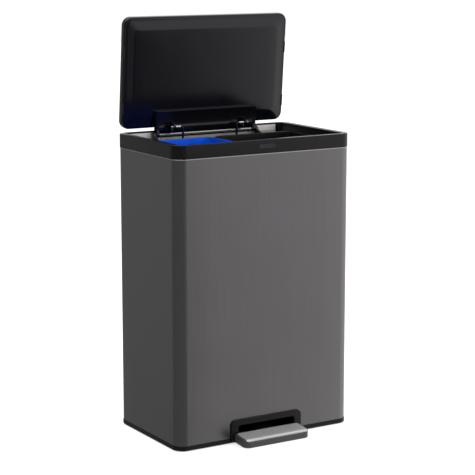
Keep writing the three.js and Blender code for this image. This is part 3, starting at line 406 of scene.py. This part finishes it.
def carve(piece, tool):
    """Cuts the tool's shape out of a piece and throws the tool away."""
    modifier = piece.modifiers.new("cut", "BOOLEAN")
    modifier.operation = "DIFFERENCE"
    modifier.solver = "EXACT"
    modifier.object = tool
    with bpy.context.temp_override(object=piece, active_object=piece):
        bpy.ops.object.modifier_apply(modifier=modifier.name)
    bpy.data.objects.remove(tool)
    piece.data.shade_smooth()
    piece.data.set_sharp_from_angle(angle=math.radians(SHARP_ANGLE))


def stand_for(piece, body, slot, *nodes):
    """The piece rides on a body and stands for its CAD nodes, which it hides. The slot is not used.
    """
    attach(piece, body)
    if nodes:
        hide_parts(*nodes)


def cad(name):
    """(low, high) corners of a CAD node, as two tuples of metres."""
    low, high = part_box(name)
    return tuple(low), tuple(high)


# ---- Places taken from the frame ----------------------------------------------------------
WRAP_LOW, WRAP_HIGH = cad("body_wrap")
RIM_LOW, RIM_HIGH = cad("top_rim")
BASE_LOW, BASE_HIGH = cad("base_tray")
JOINTS = {j["name"]: j for j in frame["record"]["behaviour"]["joints"]}
HINGE = JOINTS["lid_hinge"]["pos_m"]
OPEN = -math.radians(JOINTS["lid_hinge"]["range_deg"][0])
BODY_RADIUS = 25 * MM
WRAP_RADIUS = BODY_RADIUS - MM


def opened(points):
    """Turns points of the closed lid to the open lid, about the hinge."""
    out = np.array(points, float)
    y = points[:, 1] - HINGE[1]
    z = points[:, 2] - HINGE[2]
    out[:, 1] = HINGE[1] + y * math.cos(OPEN) + z * math.sin(OPEN)
    out[:, 2] = HINGE[2] - y * math.sin(OPEN) + z * math.cos(OPEN)
    return out


def flat_box(low, high):
    """(x0, x1, y0, y1) of two corners."""
    return (low[0], high[0], low[1], high[1])


# ---- Body ---------------------------------------------------------------------------------
def body_wrap():
    """One steel sheet bent round the body, hemmed into a small bead along its top edge, with an
    opening for the pedal."""
    sheet, fold, bead = 1.0 * MM, 0.2 * MM, 0.45 * MM
    bottom, top = WRAP_LOW[2], WRAP_HIGH[2]
    hem = [(-bead * math.sin(a), top - bead * (3 - 2 * a / math.pi))
           for a in np.linspace(0, math.pi, 7)]
    profile = [(0, bottom), (0, top - 4 * bead), *hem, (fold, top), (sheet, top), (sheet, bottom)]
    rings = rect_rings(flat_box(WRAP_LOW, WRAP_HIGH), WRAP_RADIUS, profile, arc=20, side=6)
    wrap = skin("body_wrap_sheet", rings, "dark_steel", closed=True)
    half, opening_top = 82 * MM, 45 * MM
    ahead, behind, below = 10 * MM, 30 * MM, 20 * MM
    low = (-half, WRAP_LOW[1] - ahead, -below)
    high = (half, WRAP_LOW[1] + behind, opening_top)
    carve(wrap, soft_box("opening", low, high, 2 * MM, "dark_steel"))
    stand_for(wrap, "bin_body", "dark_steel", "body_wrap")


def wrap_edge():
    """The wrap's folded top edge in paler steel, a painted highlight: a slim band right under the
    rim, whose section is a half ellipse that stands a little out of the sheet."""
    top = WRAP_HIGH[2] - 0.3 * MM
    half, proud, bulge, depth = 0.85 * MM, 0.1 * MM, 0.75 * MM, 0.3 * MM
    section = [(-proud - bulge * math.cos(a), top - half + half * math.sin(a))
               for a in np.radians(np.linspace(-90, 90, 7))]
    section += [(depth, top), (depth, top - 2 * half)]
    rings = rect_rings(flat_box(WRAP_LOW, WRAP_HIGH), WRAP_RADIUS, section, arc=20, side=6)
    # The band's paler steel paints the highlight along the hem.
    band = skin("body_wrap_edge", rings, "painted_highlight_steel", closed=True)
    stand_for(band, "bin_body", "dark_steel")


def back_seam():
    """The folded lock seam up the middle of the back, where the sheet's two edges meet."""
    half, back = 5 * MM, WRAP_HIGH[1]
    low = (-half, back - 0.3 * MM, WRAP_LOW[2] + 1 * MM)
    high = (half, back + 0.7 * MM, WRAP_HIGH[2] - 3 * MM)
    seam = soft_box("back_seam", low, high, 0.4 * MM, "dark_steel")
    stand_for(seam, "bin_body", "dark_steel")


def top_rim():
    """The rim as one band: its outside follows the body, its crown is rounded, and its inside
    follows the opening and narrows a little downwards. The front has a pocket for the badge."""
    low, high = RIM_LOW, RIM_HIGH
    bottom, top = low[2], high[2]
    side, front, back, taper = 16 * MM, 10 * MM, 5 * MM, 3 * MM
    crown, foot = 1.8 * MM, 0.5 * MM
    mouth = (low[0] + side, high[0] - side, low[1] + front, high[1] - back)
    throat = (mouth[0] + taper, mouth[1] - taper, mouth[2] + taper, mouth[3])
    outer = [(foot, bottom), (0, bottom + foot), *quarter(crown, top - crown, crown, 180, 90, 6)]
    inner = [(-0.8 * MM, top), (-0.2 * MM, top - 0.25 * MM), (0, top - 0.9 * MM)]
    rings = rect_rings(flat_box(low, high), BODY_RADIUS, outer, arc=16)
    rings += rect_rings(mouth, 10 * MM, inner, arc=16)
    rings += rect_rings(throat, 8 * MM, [(0, top - 12 * MM), (0, bottom)], arc=16)
    rim = skin("top_rim_frame", rings, "rim_plastic", closed=True)
    badge_low, badge_high = cad("badge_plate")
    gap, past, depth = 0.4 * MM, 5 * MM, 0.9 * MM
    pocket_low = (badge_low[0] - gap, low[1] - past, badge_low[2] - gap)
    pocket_high = (badge_high[0] + gap, low[1] + depth, badge_high[2] + gap)
    carve(rim, soft_box("pocket", pocket_low, pocket_high, 0.3 * MM, "rim_plastic",
                        corner=3 * MM, axis=1))
    stand_for(rim, "bin_body", "black_plastic", "top_rim")


def badge_plate():
    """The blank badge: a small rounded plate with a raised border, and nothing on it."""
    low, high = cad("badge_plate")
    plate = soft_box("blank_badge", low, high, 0.35 * MM, "grey_plastic", corner=3 * MM, axis=1)
    border, past, depth = 1.1 * MM, 1 * MM, 0.25 * MM
    dish_low = (low[0] + border, low[1] - past, low[2] + border)
    dish_high = (high[0] - border, low[1] + depth, high[2] - border)
    carve(plate, soft_box("dish", dish_low, dish_high, 0.1 * MM, "grey_plastic",
                          corner=2 * MM, axis=1))
    stand_for(plate, "bin_body", "grey_plastic", "badge_plate")


def base_ring():
    """The black base: a tray with a rounded lower edge that stands proud of the steel, a collar
    inside the steel, and a boss in the middle. Tray and collar are open behind the pedal."""
    low, high = BASE_LOW, BASE_HIGH
    foot, round_low, round_top = 1.5 * MM, 2.5 * MM, 0.8 * MM
    deck, edge = 4.2 * MM, 3 * MM
    top = WRAP_LOW[2] - 0.3 * MM
    profile = quarter(round_low, foot + round_low, round_low, 270, 180, 6)
    profile += quarter(round_top, top - round_top, round_top, 180, 90, 4)
    profile += [(edge, top), (edge, deck)]
    rings = rect_rings(flat_box(low, high), BODY_RADIUS, profile, arc=20)
    ring = skin("base_ring_shell", rings, "black_plastic")

    gap, wall, seat = 1.3 * MM, 2.4 * MM, 4.0 * MM
    inside = (WRAP_LOW[0] + gap, WRAP_HIGH[0] - gap, WRAP_LOW[1] + gap, WRAP_HIGH[1] - gap)
    profile = [(0, seat), (0, high[2]), (wall, high[2]), (wall, seat)]
    rings = rect_rings(inside, WRAP_RADIUS - gap, profile, arc=12)
    collar = skin("base_collar", rings, "black_plastic", closed=True)

    half, ahead, behind = 89 * MM, 5 * MM, 20 * MM
    for piece, mouth_top in ((ring, 30 * MM), (collar, 80 * MM)):
        mouth_low = (-half, low[1] - ahead, deck)
        mouth_high = (half, low[1] + behind, mouth_top)
        carve(piece, soft_box("mouth", mouth_low, mouth_high, 0.5 * MM, "black_plastic"))
    reach = 16 * MM
    boss = soft_box("base_boss", (-reach, -reach, 0), (reach, reach, seat), 0.4 * MM,
                    "black_plastic", corner=reach / 2)
    stand_for(join("base_shell", ring, collar, boss), "bin_body", "black_plastic", "base_tray")


def pedal_surround():
    """The black bezel round the pedal's opening, with a rounded face and a tunnel behind it."""
    low, high = cad("pedal_surround")
    front, back = low[1], high[1]
    face_high = (high[0], WRAP_LOW[1] + 0.2 * MM, high[2])
    face = soft_box("surround_face", low, face_high, 1.4 * MM, "black_plastic",
                    corner=12 * MM, axis=1)
    half, tunnel_half, past, corner = 70 * MM, 73 * MM, 5 * MM, 5 * MM
    tunnel = soft_box("surround_tunnel", (-tunnel_half, front + 1.2 * MM, 4.7 * MM),
                      (tunnel_half, back, 41.5 * MM), 0.6 * MM, "black_plastic",
                      corner=corner, axis=1)
    for shell in (face, tunnel):
        slot = soft_box("slot", (-half, front - past, 6.1 * MM), (half, back + past, 38.5 * MM),
                        0.3 * MM, "black_plastic", corner=corner, axis=1)
        carve(shell, slot)
    whole = join("pedal_surround_bezel", face, tunnel)
    stand_for(whole, "bin_body", "black_plastic", "pedal_surround")


# ---- Hinge and lift linkage ---------------------------------------------------------------
def hinge_rail():
    """Pale steel plate along the inside of the back, and the ledge along its foot, the same steel
    made grey as painted shade:
    its section is a flat with a low upright near its back edge."""
    low, high = cad("hinge_rail")
    sheet = 0.9 * MM
    plate_low = (low[0], high[1] - sheet, low[2])
    web = soft_box("hinge_rail_plate", plate_low, high, 0.3 * MM, "pale_steel")
    stand_for(web, "bin_body", "pale_steel", "hinge_rail")
    front, back, upright = low[1], high[1] - 0.5 * MM, 122.4 * MM
    under, flat, crest = 618.4 * MM, 619.9 * MM, 624.3 * MM
    outline = [(front, under), (back, under), (back, flat), (upright + sheet, flat),
               (upright + sheet, crest), (upright, crest), (upright, flat), (front, flat)]
    short = 2 * MM
    # The ledge's darker steel paints the shade it lies in.
    ledge = slab("hinge_rail_ledge", outline, low[0] + short, high[0] - short, 0.1 * MM,
                 "ledge_painted_shade_steel")
    stand_for(ledge, "bin_body", "pale_steel", "hinge_rail")


def hinge_backing():
    """Black strip behind the hinge rod, where there is only shade: a dark sheet that paints that
    shade.
    """
    strip = soft_box("painted_shade_strip", *cad("hinge_backing"), 0.5 * MM, "lever_steel")
    stand_for(strip, "bin_body", "black_plastic", "hinge_backing")


def hinge_rod():
    """Bare steel rod with chamfered ends."""
    low, high = cad("hinge_rod")
    chamfer, run = 0.6 * MM, 1 * MM
    x = np.array([low[0], low[0] + chamfer, low[0] + run,
                  high[0] - run, high[0] - chamfer, high[0]])
    radii = (high[2] - low[2]) / 2 * np.array([0.8, 1, 1, 1, 1, 0.8])
    path = np.column_stack([x, np.full(6, HINGE[1]), np.full(6, HINGE[2])])
    rod = tube("hinge_rod_bar", path, radii, "rod_steel")
    stand_for(rod, "bin_body", "bright_steel", "hinge_rod")


def hinge_bracket(side):
    """Black bracket on the ledge: a low nose in front, a slope up to a round eye that is hollowed
    by a half sine wave, and an upright back."""
    name = "hinge_bracket_left" if side < 0 else "hinge_bracket_right"
    low, high = cad(name)
    nose_height, hollow = 1.6 * MM, 1.2 * MM
    eye = high[2] - HINGE[2]
    around = np.radians(np.linspace(80, 170, 10))
    crown = np.column_stack([HINGE[1] + eye * np.cos(around), HINGE[2] + eye * np.sin(around)])
    share = np.linspace(0, 1, 12)[1:-1]
    nose = np.array([low[1], low[2] + nose_height])
    slope = crown[-1] * (1 - share)[:, None] + nose * share[:, None]
    slope[:, 1] -= hollow * np.sin(math.pi * share)
    foot = [[low[1], low[2]], [high[1], low[2]], [high[1], high[2]]]
    outline = np.concatenate([foot, crown, slope, [nose]])
    tab = slab(name + "_tab", outline, low[0], high[0], 0.5 * MM, "hinge_black")
    stand_for(tab, "bin_body", "lid_black", name)


def bend_path(route, bend, steps=8):
    """A route of straight runs whose inner corners are rounded by quadratic curves."""
    route = [np.array(p, float) for p in route]
    points = [route[0]]
    for before, corner, after in zip(route, route[1:], route[2:]):
        start = corner + (before - corner) / np.linalg.norm(before - corner) * bend
        end = corner + (after - corner) / np.linalg.norm(after - corner) * bend
        t = np.linspace(0, 1, steps + 1)[:, None]
        points += list((1 - t) ** 2 * start + 2 * t * (1 - t) * corner + t**2 * end)
    points.append(route[-1])
    return np.array(points)


def lift_frame():
    """The lift frame's rod: painted black, with its two turned-out ends left bare and bright."""
    low, high = cad("lift_frame")
    radius = (high[1] - low[1]) / 2
    y = (low[1] + high[1]) / 2
    top, bottom = high[2] - radius, low[2] + radius
    leg, bend, apart, chamfer = 68 * MM, 6 * MM, 0.01 * MM, 0.8 * MM
    half = [(leg, y, bottom), (leg, y, top), (leg + bend, y, top)]
    route = [(-x, y, z) for x, y, z in reversed(half)] + half
    rod = tube("lift_frame_rod", bend_path(route, bend - apart), radius, "wire_paint")
    stand_for(rod, "lift_linkage", "bright_steel", "lift_frame")
    for side, word in ((-1, "left"), (1, "right")):
        x = side * np.array([leg + bend, high[0] - chamfer, high[0]])
        path = np.column_stack([x, np.full(3, y), np.full(3, top)])
        tip = tube(f"lift_end_{word}", path, [radius, radius, radius * 0.7], "bright_steel")
        stand_for(tip, "lift_linkage", "bright_steel", "lift_frame")


# ---- Lid ----------------------------------------------------------------------------------
LID_BACK = 105 * MM
LID_FRONT = -135 * MM
LID_HALF = 203 * MM
LID_BOTTOM = 641.3 * MM
LID_TOP = 656.3 * MM
LID_RADIUS = 19 * MM
PILLOW_Z = 634.3 * MM
LID_BOX = (-LID_HALF, LID_HALF, LID_FRONT, LID_BACK)


def lid_shell():
    """The shell as one skin: from inside its skirt, round the lip and up the outside to the top."""
    wall, edge, lip = 3.2 * MM, 4 * MM, 2.6 * MM
    ceiling = LID_TOP - wall
    inside = [(wall + 2 * MM, ceiling), (wall, ceiling - 1 * MM), (wall, LID_BOTTOM + 0.4 * MM)]
    lower = quarter(lip + 0.2 * MM, LID_BOTTOM + lip, lip, 282, 180, 7)
    upper = quarter(edge, LID_TOP - edge, edge, 180, 90, 8)
    skins = rect_rings(LID_BOX, LID_RADIUS, inside + lower + upper, arc=20)
    shell = skin("lid_tray", skins, "lid_black", warp=opened)
    stand_for(shell, "lid", "lid_black", "lid_shell")


def lid_skin():
    """The lid's outer steel skin, crowned a little and rolled down along its edge."""
    inset, roll, foot = 4.4 * MM, 0.5 * MM, 0.2 * MM
    x0, x1, y0, y1 = LID_BOX
    box = (x0 + inset, x1 - inset, y0 + inset, y1 - inset)
    z = LID_TOP + 0.05 * MM
    profile = [(0.3 * MM, z), (0, z + foot), *quarter(roll, z + foot, roll, 180, 90, 4)]
    rings = rect_rings(box, LID_RADIUS - inset, profile, arc=20)
    crown_over(rings, np.linspace(1, 0, 9)[1:], 1.3 * MM)
    sheet = skin("lid_steel_skin", rings, "lid_steel", warp=opened)
    stand_for(sheet, "lid", "dark_steel", "lid_skin")


def lid_inner_panel():
    """The lid's inner panel: it runs on from the shell's rounded edge, falls in a soft S over the
    border and bulges slightly in the middle. The border is wider along the lid's front."""
    flange = LID_BOTTOM + 0.1 * MM
    plateau = PILLOW_Z + 3.3 * MM
    lip = np.array([3.6, 3.4, 3.4, 4.2])
    lip_rise = np.array([2.4, 2.2, 0.4, 0]) * MM
    share = np.linspace(0, 1, 18)
    fall = share**2 * (3 - 2 * share)
    side = np.concatenate([lip, 5 + 23 * share]) * MM
    front = np.concatenate([lip, 6 + 24 * share]) * MM
    start = flange - 0.1 * MM
    height = np.concatenate([flange + lip_rise, start - (start - plateau) * fall])
    x0, x1, y0, y1 = LID_BOX
    rings = []
    for a, b, z in zip(side, front, height):
        radius = LID_RADIUS - min(a, 8 * MM)
        rings.append((rounded_loop(x0 + a, x1 - a, y0 + b, y1 - a, radius, 20, 1), z))
    crown_over(rings, np.linspace(1, LEAST_SHARE, 9)[1:], -0.3 * MM)
    panel = skin("lid_inner_pillow", rings, "lid_black", warp=opened, smooth_angle=60)
    stand_for(panel, "lid", "lid_black", "lid_inner_panel")


PLATE_HALF = 126 * MM


def hinge_plate():
    """Black plate on the lid's inside: a raised lip along its far edge, a soft step near the hinge,
    and an end gusset on each side that runs to the hinge rod."""
    back = 114 * MM
    front = back - 47 * MM
    top, bottom = PILLOW_Z + 2.7 * MM, PILLOW_Z - 6.3 * MM
    # Millimetres in from the front or the back edge, and up from the plate's lowest line.
    lip = [(0, 1.2), (0.4, 0.3), (1.0, 0), (1.8, 0.3), (2.6, 1.1), (4, 1.3)]
    step = [(17, 1.3), (14, 0.9), (11, 0.2), (9, 0), (3, 0), (1, 0.7), (0, 2.4)]
    outline = [(front, top)] + [(front + a * MM, bottom + b * MM) for a, b in lip]
    outline += [(back - a * MM, bottom + b * MM) for a, b in step] + [(back, top)]
    plate = slab("hinge_plate_pressing", outline, -PLATE_HALF, PLATE_HALF, 0.6 * MM,
                 "hinge_black", opened)
    whole = join("hinge_plate_pressing", plate, gusset(-1), gusset(1))
    stand_for(whole, "lid", "lid_black", "hinge_plate")


def gusset(side):
    """One end gusset: a flat arm from the plate that ends in an eye round the hinge rod."""
    eye, thick = 5.85 * MM, 8 * MM
    top = PILLOW_Z - 0.8 * MM
    arm_back, arm_front, arm_low, arm_high = 104 * MM, 95 * MM, 627.9 * MM, 628.4 * MM
    around = np.radians(np.linspace(60, -120, 20))
    ring = np.column_stack([HINGE[1] + eye * np.cos(around), HINGE[2] + eye * np.sin(around)])
    outline = np.concatenate([ring, [[arm_back, arm_low], [arm_front, arm_high], [arm_front, top],
                                     [HINGE[1] - 3 * MM, top]]])
    ends = sorted((side * (PLATE_HALF - thick), side * PLATE_HALF))
    return slab("gusset", outline, *ends, 0.4 * MM, "hinge_black", opened)


# ---- Buckets ------------------------------------------------------------------------------
def bucket(name, body, material):
    """A tapered bucket with a rolled lip: one skin from its underside, up the outside, over the lip
    and down the inside to its floor."""
    low, high = cad(name)
    bottom, top = low[2], high[2]
    wall, lip, draft = 2.2 * MM, 4 * MM, 8 * MM
    heel, skirt, roll, cove = 3.5 * MM, 9 * MM, 1.6 * MM, 5 * MM
    foot = lip + draft
    inner = lip + wall
    profile = [(foot + 6 * MM, bottom), (foot + 3 * MM, bottom)]
    profile += quarter(foot + heel, bottom + 4 * MM, heel, 250, 180)
    profile += [(lip + 0.2 * MM, top - skirt - 0.5 * MM), (0.6 * MM, top - skirt),
                (0, top - skirt + 0.6 * MM)]
    profile += quarter(roll, top - roll, roll, 180, 90)
    profile += [(inner - 2.6 * MM, top)]
    profile += quarter(inner - 2.4 * MM, top - roll, roll, 80, 0)
    profile += [(inner, top - skirt), (foot + wall, bottom + wall + 6 * MM)]
    profile += quarter(foot + wall + cove, bottom + wall + cove, cove, 180, 265)
    rings = rect_rings(flat_box(low, high), 18 * MM, profile, arc=12)
    made = skin(name + "_moulding", rings, material, smooth_angle=40)
    stand_for(made, body, material, name)


# ---- Pedal --------------------------------------------------------------------------------
PEDAL_HALF = 81 * MM
PEDAL_BACK = -135 * MM
PEDAL_FRONT = -181 * MM
PEDAL_KNEE = PEDAL_FRONT + 6.5 * MM
PEDAL_TOP = 23 * MM
PEDAL_SLOPE = math.tan(math.radians(6))
PEDAL_BEVEL = 0.5
PEDAL_FRONT_RADIUS = 14 * MM
PEDAL_BACK_RADIUS = 4 * MM


def pedal_top(y):
    """Height of the pedal's top at y: a sloping flat, with a steeper bevel in front of its knee."""
    y = np.asarray(y, float)
    bevel = np.where(y < PEDAL_KNEE, (PEDAL_KNEE - y) * PEDAL_BEVEL, 0.0)
    return PEDAL_TOP + (y - PEDAL_BACK) * PEDAL_SLOPE - bevel


def pedal_outline(inset):
    """Points anticlockwise round the pedal seen from above: wide front corners, small back ones."""
    x = PEDAL_HALF - inset
    front, back = PEDAL_FRONT_RADIUS - inset, PEDAL_BACK_RADIUS - inset
    y_front, y_back = PEDAL_FRONT + inset + front, PEDAL_BACK - inset - back
    corners = []
    for side, r, centre_y, start in ((1, front, y_front, -90), (1, back, y_back, 0),
                                     (-1, back, y_back, 90), (-1, front, y_front, 180)):
        angle = np.radians(start + np.linspace(0, 90, 13))
        corners.append(np.stack([side * (x - r) + r * np.cos(angle),
                                 centre_y + r * np.sin(angle)], 1))
    return np.concatenate(corners)


def pedal_tread():
    """Brushed steel tread: a thin plate on a grid of rows from front to back, turned down along its
    front edge. Each row is narrower at the corners, as a quarter circle is."""
    thick, inset, side_inset, corner, drop = 1.5 * MM, 2 * MM, 5 * MM, 3 * MM, 0.25 * MM
    front = PEDAL_FRONT + inset
    back = PEDAL_BACK - inset
    grid_y = np.concatenate([np.linspace(front, front + corner, 7)[:-1],
                             np.linspace(front + corner, PEDAL_KNEE, 4)[:-1],
                             np.linspace(PEDAL_KNEE, back, 12)])
    width = PEDAL_HALF - side_inset
    for distance in (grid_y - front, back - grid_y):
        reach = np.clip(corner - distance, 0, corner)
        width = width - (corner - np.sqrt(np.maximum(corner**2 - reach**2, 0)))
    share = np.concatenate([[-1, -0.995], np.linspace(-0.99, 0.99, 9), [0.995, 1]])
    x = share[None, :] * width[:, None]
    y = np.repeat(grid_y[:, None], x.shape[1], 1)
    edge_drop = np.where(np.abs(share) > 0.992, drop, 0.0)[None, :]
    top = np.stack([x, y, pedal_top(y) - edge_drop], 2)
    under = np.stack([x, y, pedal_top(y) - thick], 2)
    rows, columns = x.shape
    points = np.concatenate([top.reshape(-1, 3), under.reshape(-1, 3)])
    a = (np.arange(rows - 1)[:, None] * columns + np.arange(columns - 1)[None, :]).ravel()
    upper = np.stack([a, a + 1, a + 1 + columns, a + columns], 1)
    lower = upper[:, ::-1] + rows * columns
    rim = np.concatenate([np.arange(columns), columns * np.arange(1, rows) + columns - 1,
                          (rows - 1) * columns + np.arange(columns - 2, -1, -1),
                          columns * np.arange(rows - 2, 0, -1)])
    after = np.roll(rim, -1)
    wall = np.stack([rim, rim + rows * columns, after + rows * columns, after], 1)
    faces = np.concatenate([upper, lower, wall]).tolist()
    tread = mesh_object("pedal_tread_plate", points, faces, "tread_steel", smooth_angle=30)
    stand_for(tread, "pedal", "tread_steel", "pedal_tread")


def pedal_base():
    """The pedal's dark moulded body, under the tread and a little wider than it. Its underside
    rises slowly towards the back and steeply at the very back."""
    under, floor_z = 1.8 * MM, 1 * MM
    rise, rise_run = 1.5 * MM, 40 * MM
    kick, kick_start, kick_run = 5 * MM, PEDAL_BACK - 6 * MM, 7 * MM

    def shaped(points):
        out = points.copy()
        y = points[:, 1]
        share = points[:, 2]
        low = floor_z + rise * np.clip((y - PEDAL_FRONT) / rise_run, 0, 1)
        low = low + kick * np.clip((y - kick_start) / kick_run, 0, 1)
        out[:, 2] = low + (pedal_top(y) - under - low) * share
        return out

    # Inset in millimetres, and share of the height from the underside to the top.
    profile = ((3, 0.0), (1.2, 0.0), (0.3, 0.05), (0, 0.12),
               (0, 0.86), (0.2, 0.94), (0.7, 0.99), (1.2, 1.0))
    rings = [(pedal_outline(inset * MM), share) for inset, share in profile]
    base = skin("pedal_body", rings, "pedal_plastic", warp=shaped)
    stand_for(base, "pedal", "grey_plastic", "pedal_base")


# ---- Small visible pieces -----------------------------------------------------------------
def slider():
    """The red hold-open slider with three grip ribs."""
    low, high = cad("hold_open_slider")
    stem, pitch, half, inset, sink = 8 * MM, 2.4 * MM, 0.5 * MM, 0.8 * MM, 1 * MM
    pieces = [soft_box("slider_tab", (low[0], low[1], low[2] + stem), high, inset, "red_plastic")]
    for k in (-1, 0, 1):
        x = (low[0] + high[0]) / 2 + k * pitch
        rib_low = (x - half, low[1] + inset, high[2] - sink)
        rib_high = (x + half, high[1] - inset, high[2] - 0.01 * MM)
        pieces.append(soft_box("rib", rib_low, rib_high, 0.3 * MM, "red_plastic"))
    stand_for(join("slider_tab", *pieces), "hold_open", "red_plastic", "hold_open_slider")


def finish_cad_nodes():
    """Every CAD node that still shows gets its slot's material."""
    paint = {row["node"]: row["material_slot"] for row in frame["record"]["subparts"]}
    for name, obj in frame["nodes"].items():
        obj.data.materials.clear()
        obj.data.materials.append(MATERIALS[paint[name]])


# ---- Studio -------------------------------------------------------------------------------
WHITE = (1, 1, 1, 1)
CAMERA_WHITE = 1.0
FILL = 0.8
FLOOR_GREY = (0.8, 0.8, 0.8, 1)
FLOOR_LIFT = 0.62
FLOOR_REACH = 12


def studio():
    """Soft lamps, a world and a floor. The camera sees the world as plain white. Glossy and
    transmission rays see a surround of their own instead: near white, with a wide soft dark flag on
    the camera's left, a grey patch behind it, a small dark flag low at the right front and a
    brighter patch overhead. All other rays see an even pale grey."""
    scene = bpy.context.scene
    scene.view_settings.view_transform = "Standard"
    world = bpy.data.worlds.new("studio")
    scene.world = world
    world.use_nodes = True
    tree = world.node_tree
    where = node(tree, "ShaderNodeTexCoord").outputs["Generated"]
    height = node(tree, "ShaderNodeSeparateXYZ", Vector=where).outputs["Z"]

    def ramp(value, start, end, low, high):
        """A smooth change from low to high while the value goes from start to end."""
        made = node(tree, "ShaderNodeMapRange", interpolation_type="SMOOTHSTEP", Value=value,
                    From_Min=start, From_Max=end, To_Min=low, To_Max=high)
        return made.outputs["Result"]

    def towards(azimuth, rise, start, end, low, high):
        """A ramp of the cosine between a direction and the ray. Azimuth counts from the front to
        +X, in degrees, and rise is the direction's Z."""
        turn = math.radians(azimuth)
        level = math.sqrt(1 - rise * rise)
        cosine = node(tree, "ShaderNodeVectorMath", operation="DOT_PRODUCT")
        put(tree, where, cosine.inputs[0])
        put(tree, (level * math.sin(turn), -level * math.cos(turn), rise), cosine.inputs[1])
        return ramp(cosine.outputs["Value"], start, end, low, high)

    def mix(share, a, b):
        """a where share is 0, b where it is 1. Each is a socket or a number."""
        made = node(tree, "ShaderNodeMix", data_type="FLOAT", Factor=share, A=a, B=b)
        return made.outputs["Result"]

    side_flag = towards(azimuth=-85, rise=0.0, start=-0.62, end=0.10, low=1.10, high=0.20)
    back_patch = towards(azimuth=-152, rise=0.0, start=0.90, end=0.985, low=0.0, high=0.5)
    low_flag = towards(azimuth=20.8, rise=-0.25, start=0.970, end=0.9905, low=0.0, high=0.95)
    steeply_down = ramp(height, start=-0.75, end=-0.42, low=1.0, high=0.0)
    overhead = ramp(height, start=0.42, end=0.95, low=0.0, high=1.0)
    surround = mix(back_patch, side_flag, 0.5)
    surround = mix(steeply_down, surround, 0.85)
    surround = mix(low_flag, surround, 0.03)
    surround = mix(overhead, surround, 1.7)
    seen = node(tree, "ShaderNodeLightPath").outputs
    shown = mix(seen["Is Glossy Ray"], FILL, surround)
    shown = mix(seen["Is Transmission Ray"], shown, surround)
    shown = mix(seen["Is Camera Ray"], shown, CAMERA_WHITE)
    back = tree.nodes["Background"]
    put(tree, WHITE, back.inputs["Color"])
    put(tree, shown, back.inputs["Strength"])

    lamp("key", (2.6, -2.6, 2.4), (0, 0, 0.4), size=2.2, power=50, glossy=False)
    lamp("top", (-0.6, 0.2, 3.0), (0, 0, 0.5), size=2.0, power=22, glossy=True)
    floor()


def lamp(name, at, target, size, power, glossy):
    """A square soft lamp that looks at target. glossy says whether it shows in reflections."""
    data = bpy.data.lights.new(name, "AREA")
    data.size = size
    data.energy = power
    made = bpy.data.objects.new(name, data)
    made.location = at
    made.rotation_euler = (Vector(target) - Vector(at)).to_track_quat("-Z", "Y").to_euler()
    made.visible_glossy = glossy
    bpy.context.collection.objects.link(made)


def floor():
    """A pale floor, lifted to white where the camera sees it, that keeps a faint shadow. Glossy
    rays pass it, so that metal shows the surround."""
    paint = {"Base Color": FLOOR_GREY, "Roughness": 0.9}
    material, tree, shader = new_material("floor_white", paint)
    seen = node(tree, "ShaderNodeLightPath").outputs
    put(tree, WHITE, shader.inputs["Emission Color"])
    lift = calc(tree, "MULTIPLY", seen["Is Camera Ray"], FLOOR_LIFT)
    put(tree, lift, shader.inputs["Emission Strength"])
    mixed = tree.nodes.new("ShaderNodeMixShader")
    clear = tree.nodes.new("ShaderNodeBsdfTransparent")
    put(tree, seen["Is Glossy Ray"], mixed.inputs[0])
    put(tree, shader.outputs[0], mixed.inputs[1])
    put(tree, clear.outputs[0], mixed.inputs[2])
    put(tree, mixed.outputs[0], tree.nodes["Material Output"].inputs["Surface"])
    mesh = bpy.data.meshes.new("floor")
    corners = [(x * FLOOR_REACH, y * FLOOR_REACH, 0)
               for x, y in ((-1, -1), (1, -1), (1, 1), (-1, 1))]
    mesh.from_pydata(corners, [], [(0, 1, 2, 3)])
    mesh.materials.append(material)
    made = bpy.data.objects.new("floor", mesh)
    bpy.context.collection.objects.link(made)


body_wrap()
wrap_edge()
back_seam()
top_rim()
badge_plate()
base_ring()
pedal_surround()
hinge_rail()
hinge_backing()
hinge_rod()
hinge_bracket(-1)
hinge_bracket(1)
lift_frame()
lid_shell()
lid_skin()
lid_inner_panel()
hinge_plate()
bucket("bucket_left", "left_bucket", "blue_plastic")
bucket("bucket_right", "right_bucket", "black_plastic")
pedal_tread()
pedal_base()
slider()
finish_cad_nodes()
studio()
